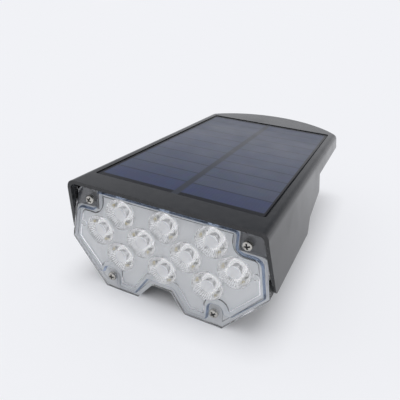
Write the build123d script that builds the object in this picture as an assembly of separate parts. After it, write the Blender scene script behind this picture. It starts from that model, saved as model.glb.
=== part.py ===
from build123d import *
import os
from math import cos, hypot, radians, sin, tan

# A solar garden spotlight, in millimetres.
# X runs across the lamp, Y back from the front lip of its hood, Z up from the table.
# A "drop" is a depth below the top of the hood. The finished part is centred on its length.

# Overall
LENGTH = 195.5
HEIGHT = 58.0
FLARE = 10.0
RUNNING_GAP = 0.05
SEAT_GAP = 0.3

# Hood: a thin glossy shell with flared sides and a round back
HOOD_TOP_WIDTH = 98.2
HOOD_WALL = 1.8
HOOD_EDGE_ROUND = 3.5
HOOD_INNER_ROUND = 2.6
HOOD_BACK_RADIUS = 60.0
HOOD_BACK_CORNER = 6.0
LIP_DROP = 4.0
SKIRT_TIP_BACK = 7.7
SKIRT_TIP_DROP = 31.5
SKIRT_END = 70.1
SKIRT_END_DROP = 32.3
STEP_END = 75.6
STEP_DROP = 25.0
RAMP_END = 102.8
RAMP_END_DROP = 19.3
RIM_START = 104.0
RIM_DROP = 9.0
SKIRT_CORNER = 2.0

# Solar panel, let into the roof of the hood
PANEL_FRONT = 13.4
PANEL_BACK_LAND = 31.8
PANEL_SIDE_LAND = 5.1
PANEL_CORNER = 1.5
PANEL_GAP = 0.4
PANEL_SUNK = 0.4
PANEL_SHEET = 0.5
CELL_THICK = 0.2
PANEL_BOARD = 1.6
PANEL_TAPE = 0.4
PANEL_TAPE_WIDTH = 6.0
PAN_WALL = 1.6
CELL_ROWS = 11
CELL_GAP = 0.3
CELL_MIDDLE_GAP = 3.4
CELL_SIDE_MARGIN = 2.1
CELL_END_MARGIN = 3.65
PANEL_LEAD_HOLE = 3.0

# Lens cover, the clear face of the lamp
LENS_BACK_FROM_LIP = 4.6
LENS_FLANGE = 2.6
LENS_PAD = 1.2
LENS_WALL = 2.5
LENS_TOP_DROP = 2.5
LENS_SIDE_GAP = 0.4
LENS_TOP_ROUND = 8.5
LENS_CORNER_ROUND = 1.5
LENS_WIDE_DROP = 33.8
LENS_FOOT_SIDE = 16.3
NOTCH_BASE_HALF = 13.2
NOTCH_TOP_HALF = 5.3
NOTCH_HEIGHT = 10.2
PAD_EDGE_CHAMFER = 0.7
PAD_TOP_DROP = 4.5
PAD_TOP_SIDE = 13.3
PAD_SHOULDER_DROP = 14.5
PAD_SIDE_INSET = 2.0
PAD_WIDE_RISE = 0.8
PAD_SLOPE_INSET = 3.1
PAD_FOOT_INSET = 2.5
PAD_NOTCH_FOOT_INSET = 1.2
PAD_NOTCH_SIDE_INSET = 1.8
PAD_NOTCH_TOP_INSET = 3.7
PAD_STEP_LOW = 1.1
PAD_STEP_TOP = 5.6
PAD_STEP_LAND = 3.6
PAD_STEP_OUTER = 3.4
PAD_STEP_INNER = 3.1

# Optics moulded on the back of the lens cover, in staggered rows
OPTIC_ROWS = (3, 4, 3)
OPTIC_FIRST_DROP = 14.1
OPTIC_LAST_RISE = 10.3
OPTIC_SIDE = 13.7
OPTIC_GAP = 0.62
OPTIC_TAPER = 25.7
OPTIC_DEPTH = 7.7
OPTIC_FLUTES = 24
OPTIC_POCKET_RADIUS = 2.9
OPTIC_POCKET_DEPTH = 3.2

# Screws of the lens cover
LENS_SCREW_TOP_SIDE = 8.9
LENS_SCREW_TOP_DROP = 10.0
LENS_SCREW_FOOT_SIDE = 4.4
LENS_SCREW_FOOT_RISE = 7.7
SCREW_HEAD_RADIUS = 2.3
SCREW_HEAD_HEIGHT = 1.6
SCREW_HEAD_CHAMFER = 0.6
SCREW_SHANK_RADIUS = 1.25
SCREW_LENGTH = 9.0
SCREW_HOLE_GAP = 0.3
BOSS_RADIUS = 3.8
BOSS_LENGTH = 12.0

# Gasket, reflector and light board behind the lens cover
GASKET_THICK = 1.0
GASKET_WIDTH = 2.3
REFLECTOR_GAP = 0.1
REFLECTOR_THICK = 1.5
REFLECTOR_CUP_WALL = 0.8
LED_BOARD_THICK = 1.6
LED_BOARD_SIDE_GAP = 0.6
LED_WIDTH = 2.8
LED_HEIGHT = 3.5
LED_THICK = 0.8
LEDGE_WIDTH = 2.6
LEDGE_THICK = 1.6

# Lower housing
HOUSING_WALL = 2.0
HOUSING_END = 70.0
HOUSING_SLOPE_END = 76.0
HOUSING_RAMP_START_DROP = 24.6
HOUSING_RAMP_END = 101.8
HOUSING_RAMP_END_DROP = 18.9
CORNER_PAD_SIDE = 12.9
CORNER_PAD_FALL = 24.0
CORNER_PAD_ROUND = 3.4

# Back plate, the floor behind the lower housing
PLATE_THICK = 1.8
PLATE_RIB = 1.2
PLATE_RIB_HEIGHT = 1.4
PLATE_RIB_SPACING = 18.0
PLATE_RIB_END_GAP = 30.5
PLATE_HOOK_X = 28.0
PLATE_HOOK_WIDTH = 14.0
PLATE_HOOK_REACH = 4.0
PLATE_HOOK_THICK = 1.6

# Screws that hold the housing to the hood
COVER_SCREW_FRONT_SIDE = 10.1
COVER_SCREW_FRONT_PLACE = 91.0
COVER_SCREW_BACK_HALF = 25.0
COVER_SCREW_BACK_INSET = 20.5
COVER_POST_RADIUS = 4.6
COVER_POST_HEIGHT = 5.0
COVER_POST_BELOW = 1.0
COVER_BOSS_RADIUS = 3.2

# Battery and its strap
CELL_RADIUS = 9.2
CELL_BODY_LENGTH = 65.0
CELL_BEVEL = 0.75
CELL_POLE_RADIUS = 3.0
CELL_POLE_HEIGHT = 1.0
CELL_BACK = 36.0
CELL_AXIS_HEIGHT = 25.0
SADDLE_SPACING = 44.0
SADDLE_THICK = 2.0
SADDLE_WIDTH = 26.0
STRAP_WIDTH = 12.0
STRAP_THICK = 1.4
STRAP_FOOT = 7.5
STRAP_POST_RADIUS = 3.4
TAB_THICK = 0.3
TAB_WIDTH = 7.0
TAB_HEIGHT = 14.7

# Control board, its switch and the button below it
BOARD_WIDTH = 62.0
BOARD_LENGTH = 20.0
BOARD_BACK = 89.5
BOARD_DROP = 10.0
BOARD_THICK = 1.2
BOARD_PART_HEIGHT = 2.6
CHIP_SIZE = (6.0, 5.0)
CHIP_PLACE = (-8.0, 0.0)
COIL_RADIUS = 4.0
COIL_PLACE = (10.0, -2.0)
PLUG_SOCKET_SIZE = (8.0, 6.0)
PLUG_SOCKET_PLACE = (19.0, 5.0)
CAPACITOR_RADIUS = 2.6
CAPACITOR_PLACE = (-18.0, -3.0)
BOARD_POST_RADIUS = 2.4
BOARD_POST_X = 27.0
BOARD_POST_Y = 6.5
BUTTON_X = -18.0
BUTTON_PAST_PIVOT = 6.0
BUTTON_RADIUS = 4.5
BUTTON_FLANGE = 1.4
BUTTON_FLANGE_THICK = 1.2
BUTTON_SHOWN = 1.8
BUTTON_CHAMFER = 0.8
BUTTON_BOSS_WALL = 3.0
BUTTON_BOSS_BELOW = 1.0
BUTTON_TRAVEL = 1.0
BUTTON_SIDE_GAP = 0.3
SEAL_THICK = 0.6
SWITCH_SIZE = 6.0
SWITCH_HEIGHT = 3.4
PLUNGER_RADIUS = 1.7
PLUNGER_SHOWN = 1.4

# Arm that folds into the groove under the lamp and carries the stake
PIVOT_BACK = 84.0
PIVOT_HEIGHT = 9.6
BARREL_RADIUS = 8.4
BARREL_WIDTH = 14.0
LUG_RADIUS = 8.9
LUG_THICK = 5.0
LUG_TOP_FRONT = 76.0
LUG_TOP_BACK = 97.0
NUT_BOSS = 2.0
ARM_BOTTOM = 1.2
ARM_TOP = 9.0
ARM_NECK_END = 73.0
ARM_BOTTOM_HALF = 10.0
ARM_TOP_HALF = 4.6
ARM_SOCKET_START = 38.0
ARM_TIP = 20.0
SOCKET_RADIUS = 3.0
SOCKET_DEPTH = 16.0
SOCKET_OUTER_RADIUS = 4.4
SOCKET_AXIS_HEIGHT = 5.3
ARM_POCKET_WALL = 1.8
ARM_POCKET_DEPTH = 4.2
ARM_EDGE_ROUND = 0.8

# Pivot bolt, nut, washer and knob
BOLT_RADIUS = 2.5
NUT_ACROSS_FLATS = 8.0
NUT_THICK = 4.0
WASHER_RADIUS = 6.5
WASHER_THICK = 1.0
KNOB_RADIUS = 8.6
KNOB_HUB_RADIUS = 6.0
KNOB_HUB_LENGTH = 2.5
KNOB_LENGTH = 9.0
KNOB_LOBES = 6
KNOB_SCALLOP = 3.2
KNOB_CHAMFER = 1.0

# Wires
WIRE_RADIUS = 0.7
WIRE_SPACING = 1.8
LEAD_DROP = 14.0
LEAD_INSET = 7.0
LEAD_RISE = 11.0
LEAD_END = 4.0


# Levels and places that several pieces share

def level(drop):
    """Height of a point that lies so far below the top of the hood."""
    return HEIGHT - drop


def spread(drop):
    """How far the flared sides have moved out at a drop."""
    return drop * tan(radians(FLARE))


HALF_TOP = HOOD_TOP_WIDTH / 2
LENS_FOOT_HALF = HALF_TOP - LENS_FOOT_SIDE
LENS_SCREW_TOP = (HALF_TOP - LENS_SCREW_TOP_SIDE, level(LENS_SCREW_TOP_DROP))
LENS_SCREW_FOOT = (LENS_FOOT_HALF - LENS_SCREW_FOOT_SIDE, LENS_SCREW_FOOT_RISE)
COVER_SCREW_FRONT = (HALF_TOP - COVER_SCREW_FRONT_SIDE, COVER_SCREW_FRONT_PLACE)
COVER_SCREW_BACK = (COVER_SCREW_BACK_HALF, LENGTH - COVER_SCREW_BACK_INSET)
BUTTON_BACK = PIVOT_BACK + BUTTON_PAST_PIVOT
SIDE_WALL = HOOD_WALL / cos(radians(FLARE))
BACK_PEAK = LENGTH - spread(RIM_DROP)
PANEL_WIDTH = HOOD_TOP_WIDTH - 2 * PANEL_SIDE_LAND
PANEL_LENGTH = LENGTH - PANEL_FRONT - PANEL_BACK_LAND
CELL_PITCH = (PANEL_LENGTH - 2 * CELL_END_MARGIN) / CELL_ROWS
CELL_LENGTH = (PANEL_WIDTH - CELL_MIDDLE_GAP) / 2 - CELL_SIDE_MARGIN
PANEL_STACK = PANEL_SHEET + CELL_THICK + PANEL_BOARD + PANEL_TAPE
PAN_FLOOR = level(PANEL_SUNK + PANEL_STACK)
PAN_UNDER = PAN_FLOOR - PAN_WALL
PANEL_MIDDLE = PANEL_FRONT + PANEL_LENGTH / 2
FLANGE_FRONT = LENS_BACK_FROM_LIP
FLANGE_BACK = FLANGE_FRONT + LENS_FLANGE
PAD_FRONT = FLANGE_FRONT - LENS_PAD
PAD_BACK = PAD_FRONT + LENS_WALL
OPTIC_BACK = PAD_BACK + OPTIC_DEPTH
OPTIC_PITCH = 2 * (HALF_TOP - OPTIC_SIDE) / (max(OPTIC_ROWS) - 1)
OPTIC_FALL = level(OPTIC_FIRST_DROP) - NOTCH_HEIGHT - OPTIC_LAST_RISE
OPTIC_ROW_PITCH = OPTIC_FALL / (len(OPTIC_ROWS) - 1)
OPTIC_FRONT_RADIUS = (hypot(OPTIC_PITCH / 2, OPTIC_ROW_PITCH) - OPTIC_GAP) / 2
LED_BOARD_FRONT = OPTIC_BACK + LED_THICK / 2
HOUSING_FRONT = FLANGE_BACK + GASKET_THICK
REFLECTOR_FRONT = FLANGE_BACK + REFLECTOR_GAP
REFLECTOR_BACK = REFLECTOR_FRONT + REFLECTOR_THICK
PLATE_UNDER = level(RIM_DROP)
PLATE_TOP = PLATE_UNDER + PLATE_THICK
HOLE_RADIUS = SCREW_SHANK_RADIUS + RUNNING_GAP
CLEAR_HOLE = SCREW_SHANK_RADIUS + SCREW_HOLE_GAP
BOARD_UNDER = level(BOARD_DROP)
SWITCH_UNDER = BOARD_UNDER - SWITCH_HEIGHT
LUG_INNER = BARREL_WIDTH / 2 + SEAT_GAP


def lens_half_width(drop):
    """Half width of the lens cover and housing, just inside the flared skirt."""
    return HALF_TOP + spread(drop) - SIDE_WALL - LENS_SIDE_GAP


def ramp_level(back):
    """Height of the housing's sloped underside, under the control board."""
    start, end = level(HOUSING_RAMP_START_DROP), level(HOUSING_RAMP_END_DROP)
    share = (back - HOUSING_SLOPE_END) / (HOUSING_RAMP_END - HOUSING_SLOPE_END)
    return start + share * (end - start)


def floor_level(back):
    """Height of the sloped floor inside the housing, over the underside."""
    return ramp_level(back + HOUSING_WALL) + HOUSING_WALL


# Drawing helpers

def rounded(points, radii):
    """A face through the points, with each corner rounded by its own radius."""
    outline = make_face(Polyline(*points, close=True))
    for point, radius in zip(points, radii):
        if radius > 0:
            corner = outline.vertices().sort_by_distance(Vector(*point))[0]
            outline = fillet(corner, radius)
    return outline


def symmetric(points, radii):
    """A rounded face from the points of its right half."""
    left = [(-x, z) for x, z in reversed(points)]
    return rounded(list(points) + left, list(radii) + list(reversed(radii)))


def along_x(face, start, length):
    """A face drawn in Y and Z, made solid along X."""
    return Pos(start, 0, 0) * extrude(Plane.YZ * face, amount=length)


def along_y(face, start, length):
    """A face drawn in X and Z, made solid towards the back."""
    return Pos(0, start, 0) * extrude(Plane.XZ * face, amount=-length)


def upright(face, bottom, top):
    """A face drawn in X and Y, made solid upwards."""
    return Pos(0, 0, bottom) * extrude(face, amount=top - bottom)


def post(x, y, radius, bottom, top):
    """An upright round post."""
    return upright(Pos(x, y) * Circle(radius), bottom, top)


def pin_x(radius, start, end, back=PIVOT_BACK, height=PIVOT_HEIGHT):
    """A round bar across the lamp, on the arm's pivot unless told otherwise."""
    return along_x(Pos(back, height) * Circle(radius), start, end - start)


def both_sides(solid):
    """The solid with its mirror image on the other side of the lamp."""
    return solid + mirror(solid, Plane.YZ)


def mirrored_pairs(point):
    """The point and its mirror image, as pairs of X and Y or Z."""
    return [point, (-point[0], point[1])]


# Outlines seen from the front

def lens_outline(inset=0.0):
    """The six-sided face with a notch in its foot, or a smaller copy of it."""
    points = [
        (lens_half_width(LENS_TOP_DROP), level(LENS_TOP_DROP)),
        (lens_half_width(LENS_WIDE_DROP), level(LENS_WIDE_DROP)),
        (LENS_FOOT_HALF, 0),
        (NOTCH_BASE_HALF, 0),
        (NOTCH_TOP_HALF, NOTCH_HEIGHT),
    ]
    small = LENS_CORNER_ROUND
    face = symmetric(points, [LENS_TOP_ROUND, small, small, small, small])
    return offset(face, amount=-inset, kind=Kind.INTERSECTION) if inset else face


def pad_outline(inset=0.0):
    """The raised window of the lens cover, which steps round the four screws."""
    shoulder = lens_half_width(PAD_SHOULDER_DROP) - PAD_SIDE_INSET
    wide = lens_half_width(LENS_WIDE_DROP) - PAD_SIDE_INSET
    screw_x, screw_height = LENS_SCREW_FOOT
    slope = (lens_half_width(LENS_WIDE_DROP) - LENS_FOOT_HALF) / level(LENS_WIDE_DROP)
    low = screw_height + PAD_STEP_LOW
    low_x = LENS_FOOT_HALF + slope * low - PAD_SLOPE_INSET
    boss_top = screw_height + PAD_STEP_TOP
    points = [
        (HALF_TOP - PAD_TOP_SIDE, level(PAD_TOP_DROP)),
        (HALF_TOP - PAD_TOP_SIDE, level(PAD_SHOULDER_DROP)),
        (shoulder, level(PAD_SHOULDER_DROP)),
        (wide, level(LENS_WIDE_DROP) - PAD_WIDE_RISE),
        (low_x, low),
        (low_x - PAD_STEP_LAND, low),
        (screw_x + PAD_STEP_OUTER, boss_top),
        (screw_x - PAD_STEP_INNER, boss_top),
        (screw_x - PAD_STEP_INNER, PAD_FOOT_INSET),
        (NOTCH_BASE_HALF + PAD_NOTCH_FOOT_INSET, PAD_FOOT_INSET),
        (NOTCH_TOP_HALF + PAD_NOTCH_SIDE_INSET, NOTCH_HEIGHT + PAD_NOTCH_TOP_INSET),
    ]
    radii = [2.0, 3.6, 4.4, 1.6, 2.2, 1.6, 2.8, 2.8, 2.4, 1.4, 1.4]
    face = symmetric(points, radii)
    return offset(face, amount=-inset, kind=Kind.INTERSECTION) if inset else face


def corner_pads():
    """The two upper corners, where the housing itself comes up to the lens cover."""
    inner = HALF_TOP - CORNER_PAD_SIDE
    low = level(PAD_SHOULDER_DROP)
    points = [
        (inner, HEIGHT),
        (inner, low),
        (lens_half_width(PAD_SHOULDER_DROP) - PAD_SIDE_INSET, low),
        (HOOD_TOP_WIDTH, low - CORNER_PAD_FALL),
        (HOOD_TOP_WIDTH, HEIGHT),
    ]
    right = rounded(points, [0, CORNER_PAD_ROUND, CORNER_PAD_ROUND, 0, 0])
    return right + mirror(right, Plane.YZ)


def foot_bosses(grow=0.0):
    """The bosses of the two lower screws, standing on the housing's floor."""
    x, height = LENS_SCREW_FOOT
    radius = BOSS_RADIUS + grow
    right = Pos(x, height) * Circle(radius)
    right += Pos(x, 0) * Rectangle(2 * radius, height, align=(Align.CENTER, Align.MIN))
    return right + mirror(right, Plane.YZ)


def front_window(inset=0.0):
    """The opening in the housing's front that the light parts go in by."""
    whole = (lens_outline() - corner_pads()).faces().sort_by(SortBy.AREA)[-1]
    opening = offset(whole, amount=-(GASKET_WIDTH + inset), kind=Kind.INTERSECTION)
    opening -= foot_bosses(inset)
    return opening.faces().sort_by(SortBy.AREA)[-1]


def optic_places():
    """Centres of the optics, as X and Z."""
    places = []
    for row, count in enumerate(OPTIC_ROWS):
        height = level(OPTIC_FIRST_DROP + row * OPTIC_ROW_PITCH)
        for column in range(count):
            places.append(((column - (count - 1) / 2) * OPTIC_PITCH, height))
    return places


def screw_places():
    """Centres of the four lens screws, as X and Z."""
    return mirrored_pairs(LENS_SCREW_TOP) + mirrored_pairs(LENS_SCREW_FOOT)


# The hood

def hood_plan(inset, drop):
    """The hood seen from above at a drop: straight sides and a round back."""
    half = HALF_TOP - inset
    peak = BACK_PEAK - inset
    radius = HOOD_BACK_RADIUS - inset
    centre = peak - radius
    corner = centre + (radius**2 - half**2) ** 0.5
    front = -LENGTH / 2
    edges = [
        Line((-half, front), (half, front)),
        Line((half, front), (half, corner)),
        ThreePointArc((half, corner), (0, peak), (-half, corner)),
        Line((-half, corner), (-half, front)),
    ]
    face = make_face(edges)
    ends = face.vertices().group_by(Axis.Y)[-1]
    face = fillet(ends, HOOD_BACK_CORNER - inset)
    return offset(face, amount=spread(drop), kind=Kind.INTERSECTION)


def flared_block(inset, top_drop, bottom_drop):
    """A solid with the hood's plan, growing outwards on its way down."""
    block = extrude(hood_plan(inset, bottom_drop), amount=bottom_drop - top_drop, taper=FLARE)
    return Pos(0, 0, level(bottom_drop)) * block


def round_top(block, radius, drop):
    """The block with its top edge rounded along the sides and back."""
    top = [e for e in block.edges() if abs(e.center().Z - level(drop)) < 0.01]
    rim = [e for e in top if e.center().Y > -LENGTH / 2 + 1]
    return fillet(rim, radius)


def hood_side():
    """The hood seen from the side, with its stepped lower edge."""
    points = [
        (0, HEIGHT + 1),
        (0, level(LIP_DROP)),
        (SKIRT_TIP_BACK, level(SKIRT_TIP_DROP)),
        (SKIRT_END, level(SKIRT_END_DROP)),
        (STEP_END, level(STEP_DROP)),
        (RAMP_END, level(RAMP_END_DROP)),
        (RIM_START, level(RIM_DROP)),
        (LENGTH + 5, level(RIM_DROP)),
        (LENGTH + 5, HEIGHT + 1),
    ]
    small = SKIRT_CORNER
    return rounded(points, [0, 3 * small, small, small, small, small, small / 2, 0, 0])


def panel_rectangle(grow):
    """The recess for the panel, grown or shrunk."""
    corner = PANEL_CORNER + grow if PANEL_CORNER + grow > 0.3 else 0.3
    sketch = RectangleRounded(PANEL_WIDTH + 2 * grow, PANEL_LENGTH + 2 * grow, corner)
    return Pos(0, PANEL_MIDDLE) * sketch


def top_cover():
    """The glossy hood with its recess for the panel and the bosses under its roof."""
    outer = round_top(flared_block(0, 0, HEIGHT), HOOD_EDGE_ROUND, 0)
    inner = flared_block(SIDE_WALL, HOOD_WALL, HEIGHT + 1)
    inner = round_top(inner, HOOD_INNER_ROUND, HOOD_WALL)
    shell = outer & along_x(hood_side(), -LENGTH / 2, LENGTH)
    shell -= inner
    shell += upright(panel_rectangle(PAN_WALL), PAN_UNDER, level(HOOD_WALL / 2))
    for x, y in mirrored_pairs(COVER_SCREW_BACK):
        shell += post(x, y, COVER_BOSS_RADIUS, PLATE_TOP, level(HOOD_WALL / 2))
        shell -= post(x, y, HOLE_RADIUS, PLATE_TOP - 1, level(HOOD_WALL * 0.75))
    for x, y in mirrored_pairs(COVER_SCREW_FRONT):
        shell += post(x, y, COVER_BOSS_RADIUS, cover_post_top(y), PAN_FLOOR - PAN_WALL / 2)
        shell -= post(x, y, HOLE_RADIUS, cover_post_top(y) - 1, PAN_UNDER)
    shell -= upright(panel_rectangle(0), PAN_FLOOR, HEIGHT + 1)
    shell -= post(0, BOARD_BACK, PANEL_LEAD_HOLE, PAN_UNDER - 1, PAN_FLOOR + 1)
    return shell


# The solar panel

def panel_layer(shrink, top, thick):
    """One flat layer of the panel."""
    return upright(panel_rectangle(-PANEL_GAP - shrink), top - thick, top)


def panel_sheet():
    """The clear top sheet over the cells."""
    return panel_layer(0, level(PANEL_SUNK), PANEL_SHEET)


def panel_cells():
    """Two columns of thin cell strips."""
    top = level(PANEL_SUNK + PANEL_SHEET)
    strip = Box(CELL_LENGTH, CELL_PITCH - CELL_GAP, CELL_THICK)
    across = (CELL_LENGTH + CELL_MIDDLE_GAP) / 2
    cells = []
    for row in range(CELL_ROWS):
        along = PANEL_MIDDLE + (row - (CELL_ROWS - 1) / 2) * CELL_PITCH
        for side in (-1, 1):
            cells.append(Pos(side * across, along, top - CELL_THICK / 2) * strip)
    return cells


def panel_board():
    """The board that the cells are laid on."""
    return panel_layer(0, level(PANEL_SUNK + PANEL_SHEET + CELL_THICK), PANEL_BOARD)


def panel_tape():
    """The ring of double sided tape that holds the panel in its recess."""
    ring = panel_rectangle(-PANEL_GAP - 1) - panel_rectangle(-PANEL_GAP - 1 - PANEL_TAPE_WIDTH)
    return upright(ring, PAN_FLOOR, PAN_FLOOR + PANEL_TAPE)


# The lens cover and what lies behind it

def optic_radius(back):
    """Radius of an optic at a distance behind the front lip."""
    return OPTIC_FRONT_RADIUS - (back - PAD_BACK) * tan(radians(OPTIC_TAPER))


def flute_ring(place, back, gap):
    """The corners of an optic's outline at a distance behind the front lip."""
    x, z = place
    radius = optic_radius(back) + gap
    turns = [radians(360 / OPTIC_FLUTES * step) for step in range(OPTIC_FLUTES)]
    return [Vector(x + radius * cos(turn), back, z + radius * sin(turn)) for turn in turns]


def fluted(place, start, end, gap=0.0):
    """A plug with an optic's flat flutes that narrows towards the back, grown by a gap."""
    front, back = flute_ring(place, start, gap), flute_ring(place, end, gap)
    outlines = [front, back]
    for step in range(OPTIC_FLUTES):
        outlines.append([front[step - 1], front[step], back[step], back[step - 1]])
    faces = [Face(Wire.make_polygon(outline)) for outline in outlines]
    return Solid(Shell(faces))


def lens_cover():
    """The clear cover: a flange, a raised window and ten optics on its back."""
    cover = along_y(lens_outline(), FLANGE_FRONT, LENS_FLANGE)
    pad = along_y(pad_outline(), PAD_FRONT, LENS_PAD + LENS_FLANGE / 2)
    front = pad.faces().sort_by(Axis.Y)[0]
    cover += chamfer(front.edges(), PAD_EDGE_CHAMFER)
    cover -= along_y(pad_outline(LENS_WALL), PAD_BACK, LENS_FLANGE)
    pocket = OPTIC_BACK - OPTIC_POCKET_DEPTH
    for x, z in optic_places():
        cover += fluted((x, z), PAD_BACK, OPTIC_BACK)
        cover -= along_y(Pos(x, z) * Circle(OPTIC_POCKET_RADIUS), pocket, OPTIC_POCKET_DEPTH + 1)
    for x, z in screw_places():
        cover -= along_y(Pos(x, z) * Circle(CLEAR_HOLE), PAD_FRONT - 1, FLANGE_BACK)
    return cover


def lens_gasket():
    """The flat silicone ring between the cover's flange and the housing."""
    ring = lens_outline(SEAT_GAP) - front_window()
    ring -= offset(corner_pads(), amount=SEAT_GAP, kind=Kind.INTERSECTION)
    gasket = along_y(ring, FLANGE_BACK, GASKET_THICK)
    for x, z in screw_places():
        gasket -= along_y(Pos(x, z) * Circle(CLEAR_HOLE), FLANGE_BACK - 1, GASKET_THICK + 2)
    return gasket


def reflector():
    """The pale plate between the optics, with a cup round each one."""
    plate = along_y(front_window(SEAT_GAP), REFLECTOR_FRONT, REFLECTOR_THICK)
    for place in optic_places():
        plate += fluted(place, REFLECTOR_BACK, LED_BOARD_FRONT, SEAT_GAP + REFLECTOR_CUP_WALL)
    for place in optic_places():
        plate -= fluted(place, REFLECTOR_FRONT, LED_BOARD_FRONT, SEAT_GAP)
    return plate


def led_board():
    """The board that carries the light sources."""
    return along_y(front_window(LED_BOARD_SIDE_GAP), LED_BOARD_FRONT, LED_BOARD_THICK)


def leds():
    """One small square light source behind each optic."""
    chip = Box(LED_WIDTH, LED_THICK, LED_HEIGHT)
    return [Pos(x, LED_BOARD_FRONT - LED_THICK / 2, z) * chip for x, z in optic_places()]


def pan_screw(length):
    """A pan-headed screw pointing down, with its head's seat at the origin."""
    head = post(0, 0, SCREW_HEAD_RADIUS, 0, SCREW_HEAD_HEIGHT)
    head = chamfer(head.edges().group_by(Axis.Z)[-1], SCREW_HEAD_CHAMFER)
    return head + post(0, 0, SCREW_SHANK_RADIUS, -length, 0)


def lens_screws():
    """The four screws in the face, heads to the front."""
    screw = Rot(90, 0, 0) * pan_screw(SCREW_LENGTH)
    return [Pos(x, FLANGE_FRONT, z) * screw for x, z in screw_places()]


# The lower housing

def housing_side(inset):
    """The housing seen from the side, from its front to the back of its box."""
    front, below = HOUSING_FRONT + inset, -1
    points = [
        (front, below),
        (HOUSING_END - inset, below),
        (HOUSING_SLOPE_END - inset, ramp_level(HOUSING_SLOPE_END) + inset),
        (HOUSING_RAMP_END - inset, ramp_level(HOUSING_RAMP_END) + inset),
        (HOUSING_RAMP_END - inset, HEIGHT),
        (front, HEIGHT),
    ]
    return make_face(Polyline(*points, close=True))


def cover_post_top(back):
    """Where the hood's long bosses meet the housing's posts."""
    return ramp_level(back) + COVER_POST_HEIGHT


def housing_box():
    """The deep front part and the shallow part behind it, open at the top."""
    deep = HOUSING_RAMP_END - HOUSING_FRONT + 1
    outer = along_y(lens_outline(), HOUSING_FRONT, deep)
    outer &= along_x(housing_side(0), -LENGTH / 2, LENGTH)
    inner = along_y(lens_outline(HOUSING_WALL), HOUSING_FRONT - 1, deep)
    inner &= along_x(housing_side(HOUSING_WALL), -LENGTH / 2, LENGTH)
    box = outer - inner
    above = Box(2 * HALF_TOP, HOUSING_RAMP_END, HEIGHT, align=(Align.CENTER, Align.MIN, Align.MIN))
    box -= Pos(0, HOUSING_FRONT + HOUSING_WALL, PAN_UNDER) * above
    box -= along_y(front_window(), HOUSING_FRONT - 1, HOUSING_WALL + 2)
    return box


def corner_fronts():
    """The upper corners of the front wall, which come forward to the lens flange."""
    face = corner_pads() & lens_outline()
    return along_y(face, FLANGE_BACK, GASKET_THICK + HOUSING_WALL / 2)


def ledge():
    """The shelf inside the box that the light board rests on."""
    back = LED_BOARD_FRONT + LED_BOARD_THICK
    face = lens_outline(HOUSING_WALL / 2) - lens_outline(HOUSING_WALL + LEDGE_WIDTH)
    shelf = along_y(face, back, LEDGE_THICK)
    above = Box(2 * HALF_TOP, HOUSING_RAMP_END, HEIGHT, align=(Align.CENTER, Align.MIN, Align.MIN))
    return shelf - Pos(0, 0, PAN_UNDER) * above


def plate_hooks():
    """The two hooks on the back wall of the box that carry the front of the back plate."""
    start = HOUSING_RAMP_END - HOUSING_WALL / 2
    plan = Pos(PLATE_HOOK_X, start) * Rectangle(
        PLATE_HOOK_WIDTH, HOUSING_WALL / 2 + PLATE_HOOK_REACH, align=(Align.CENTER, Align.MIN)
    )
    return both_sides(upright(plan, PLATE_UNDER - PLATE_HOOK_THICK, PLATE_UNDER))


def back_plate():
    """The flat ribbed floor under the back of the hood, held by hooks and two screws."""
    plan = hood_plan(SIDE_WALL + LENS_SIDE_GAP, RIM_DROP - PLATE_THICK)
    front = Pos(0, HOUSING_RAMP_END + SEAT_GAP)
    keep = front * Rectangle(2 * LENGTH, LENGTH, align=(Align.CENTER, Align.MIN))
    plate = upright(plan & keep, PLATE_UNDER, PLATE_TOP)
    rib_length = LENGTH - PLATE_RIB_END_GAP - RIM_START
    for column in (-2, -1, 1, 2):
        rib = Pos(column * PLATE_RIB_SPACING, RIM_START) * Rectangle(
            PLATE_RIB, rib_length, align=(Align.CENTER, Align.MIN)
        )
        plate += upright(rib, PLATE_TOP - PLATE_THICK / 2, PLATE_TOP + PLATE_RIB_HEIGHT)
    for x, y in mirrored_pairs(COVER_SCREW_BACK):
        plate -= post(x, y, CLEAR_HOLE, PLATE_UNDER - 1, PLATE_TOP + 1)
    return plate


def nut_hexagon(grow=0.0):
    """The nut's hexagon in its place on the pivot, or a larger copy of it."""
    flats = NUT_ACROSS_FLATS / 2 + grow
    return Pos(PIVOT_BACK, PIVOT_HEIGHT) * RegularPolygon(flats, 6, major_radius=False)


def lugs():
    """The two ears that the arm's pivot bolt goes through."""
    disc = Pos(PIVOT_BACK, PIVOT_HEIGHT) * Circle(LUG_RADIUS)
    web = make_face(
        Polyline(
            (PIVOT_BACK - LUG_RADIUS, PIVOT_HEIGHT),
            (PIVOT_BACK + LUG_RADIUS, PIVOT_HEIGHT),
            (LUG_TOP_BACK, ramp_level(LUG_TOP_BACK) + HOUSING_WALL / 2),
            (LUG_TOP_FRONT, ramp_level(LUG_TOP_FRONT) + HOUSING_WALL / 2),
            close=True,
        )
    )
    right = along_x(disc + web, LUG_INNER, LUG_THICK)
    left = mirror(right, Plane.YZ)
    outside = bolt_ends()[0]
    left += pin_x(LUG_RADIUS, outside, -LUG_INNER)
    left -= along_x(nut_hexagon(2 * RUNNING_GAP), outside - 1, NUT_THICK + 1)
    hole = pin_x(BOLT_RADIUS + RUNNING_GAP, outside - 1, LUG_INNER + LUG_THICK + 1)
    return right + left - hole


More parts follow.
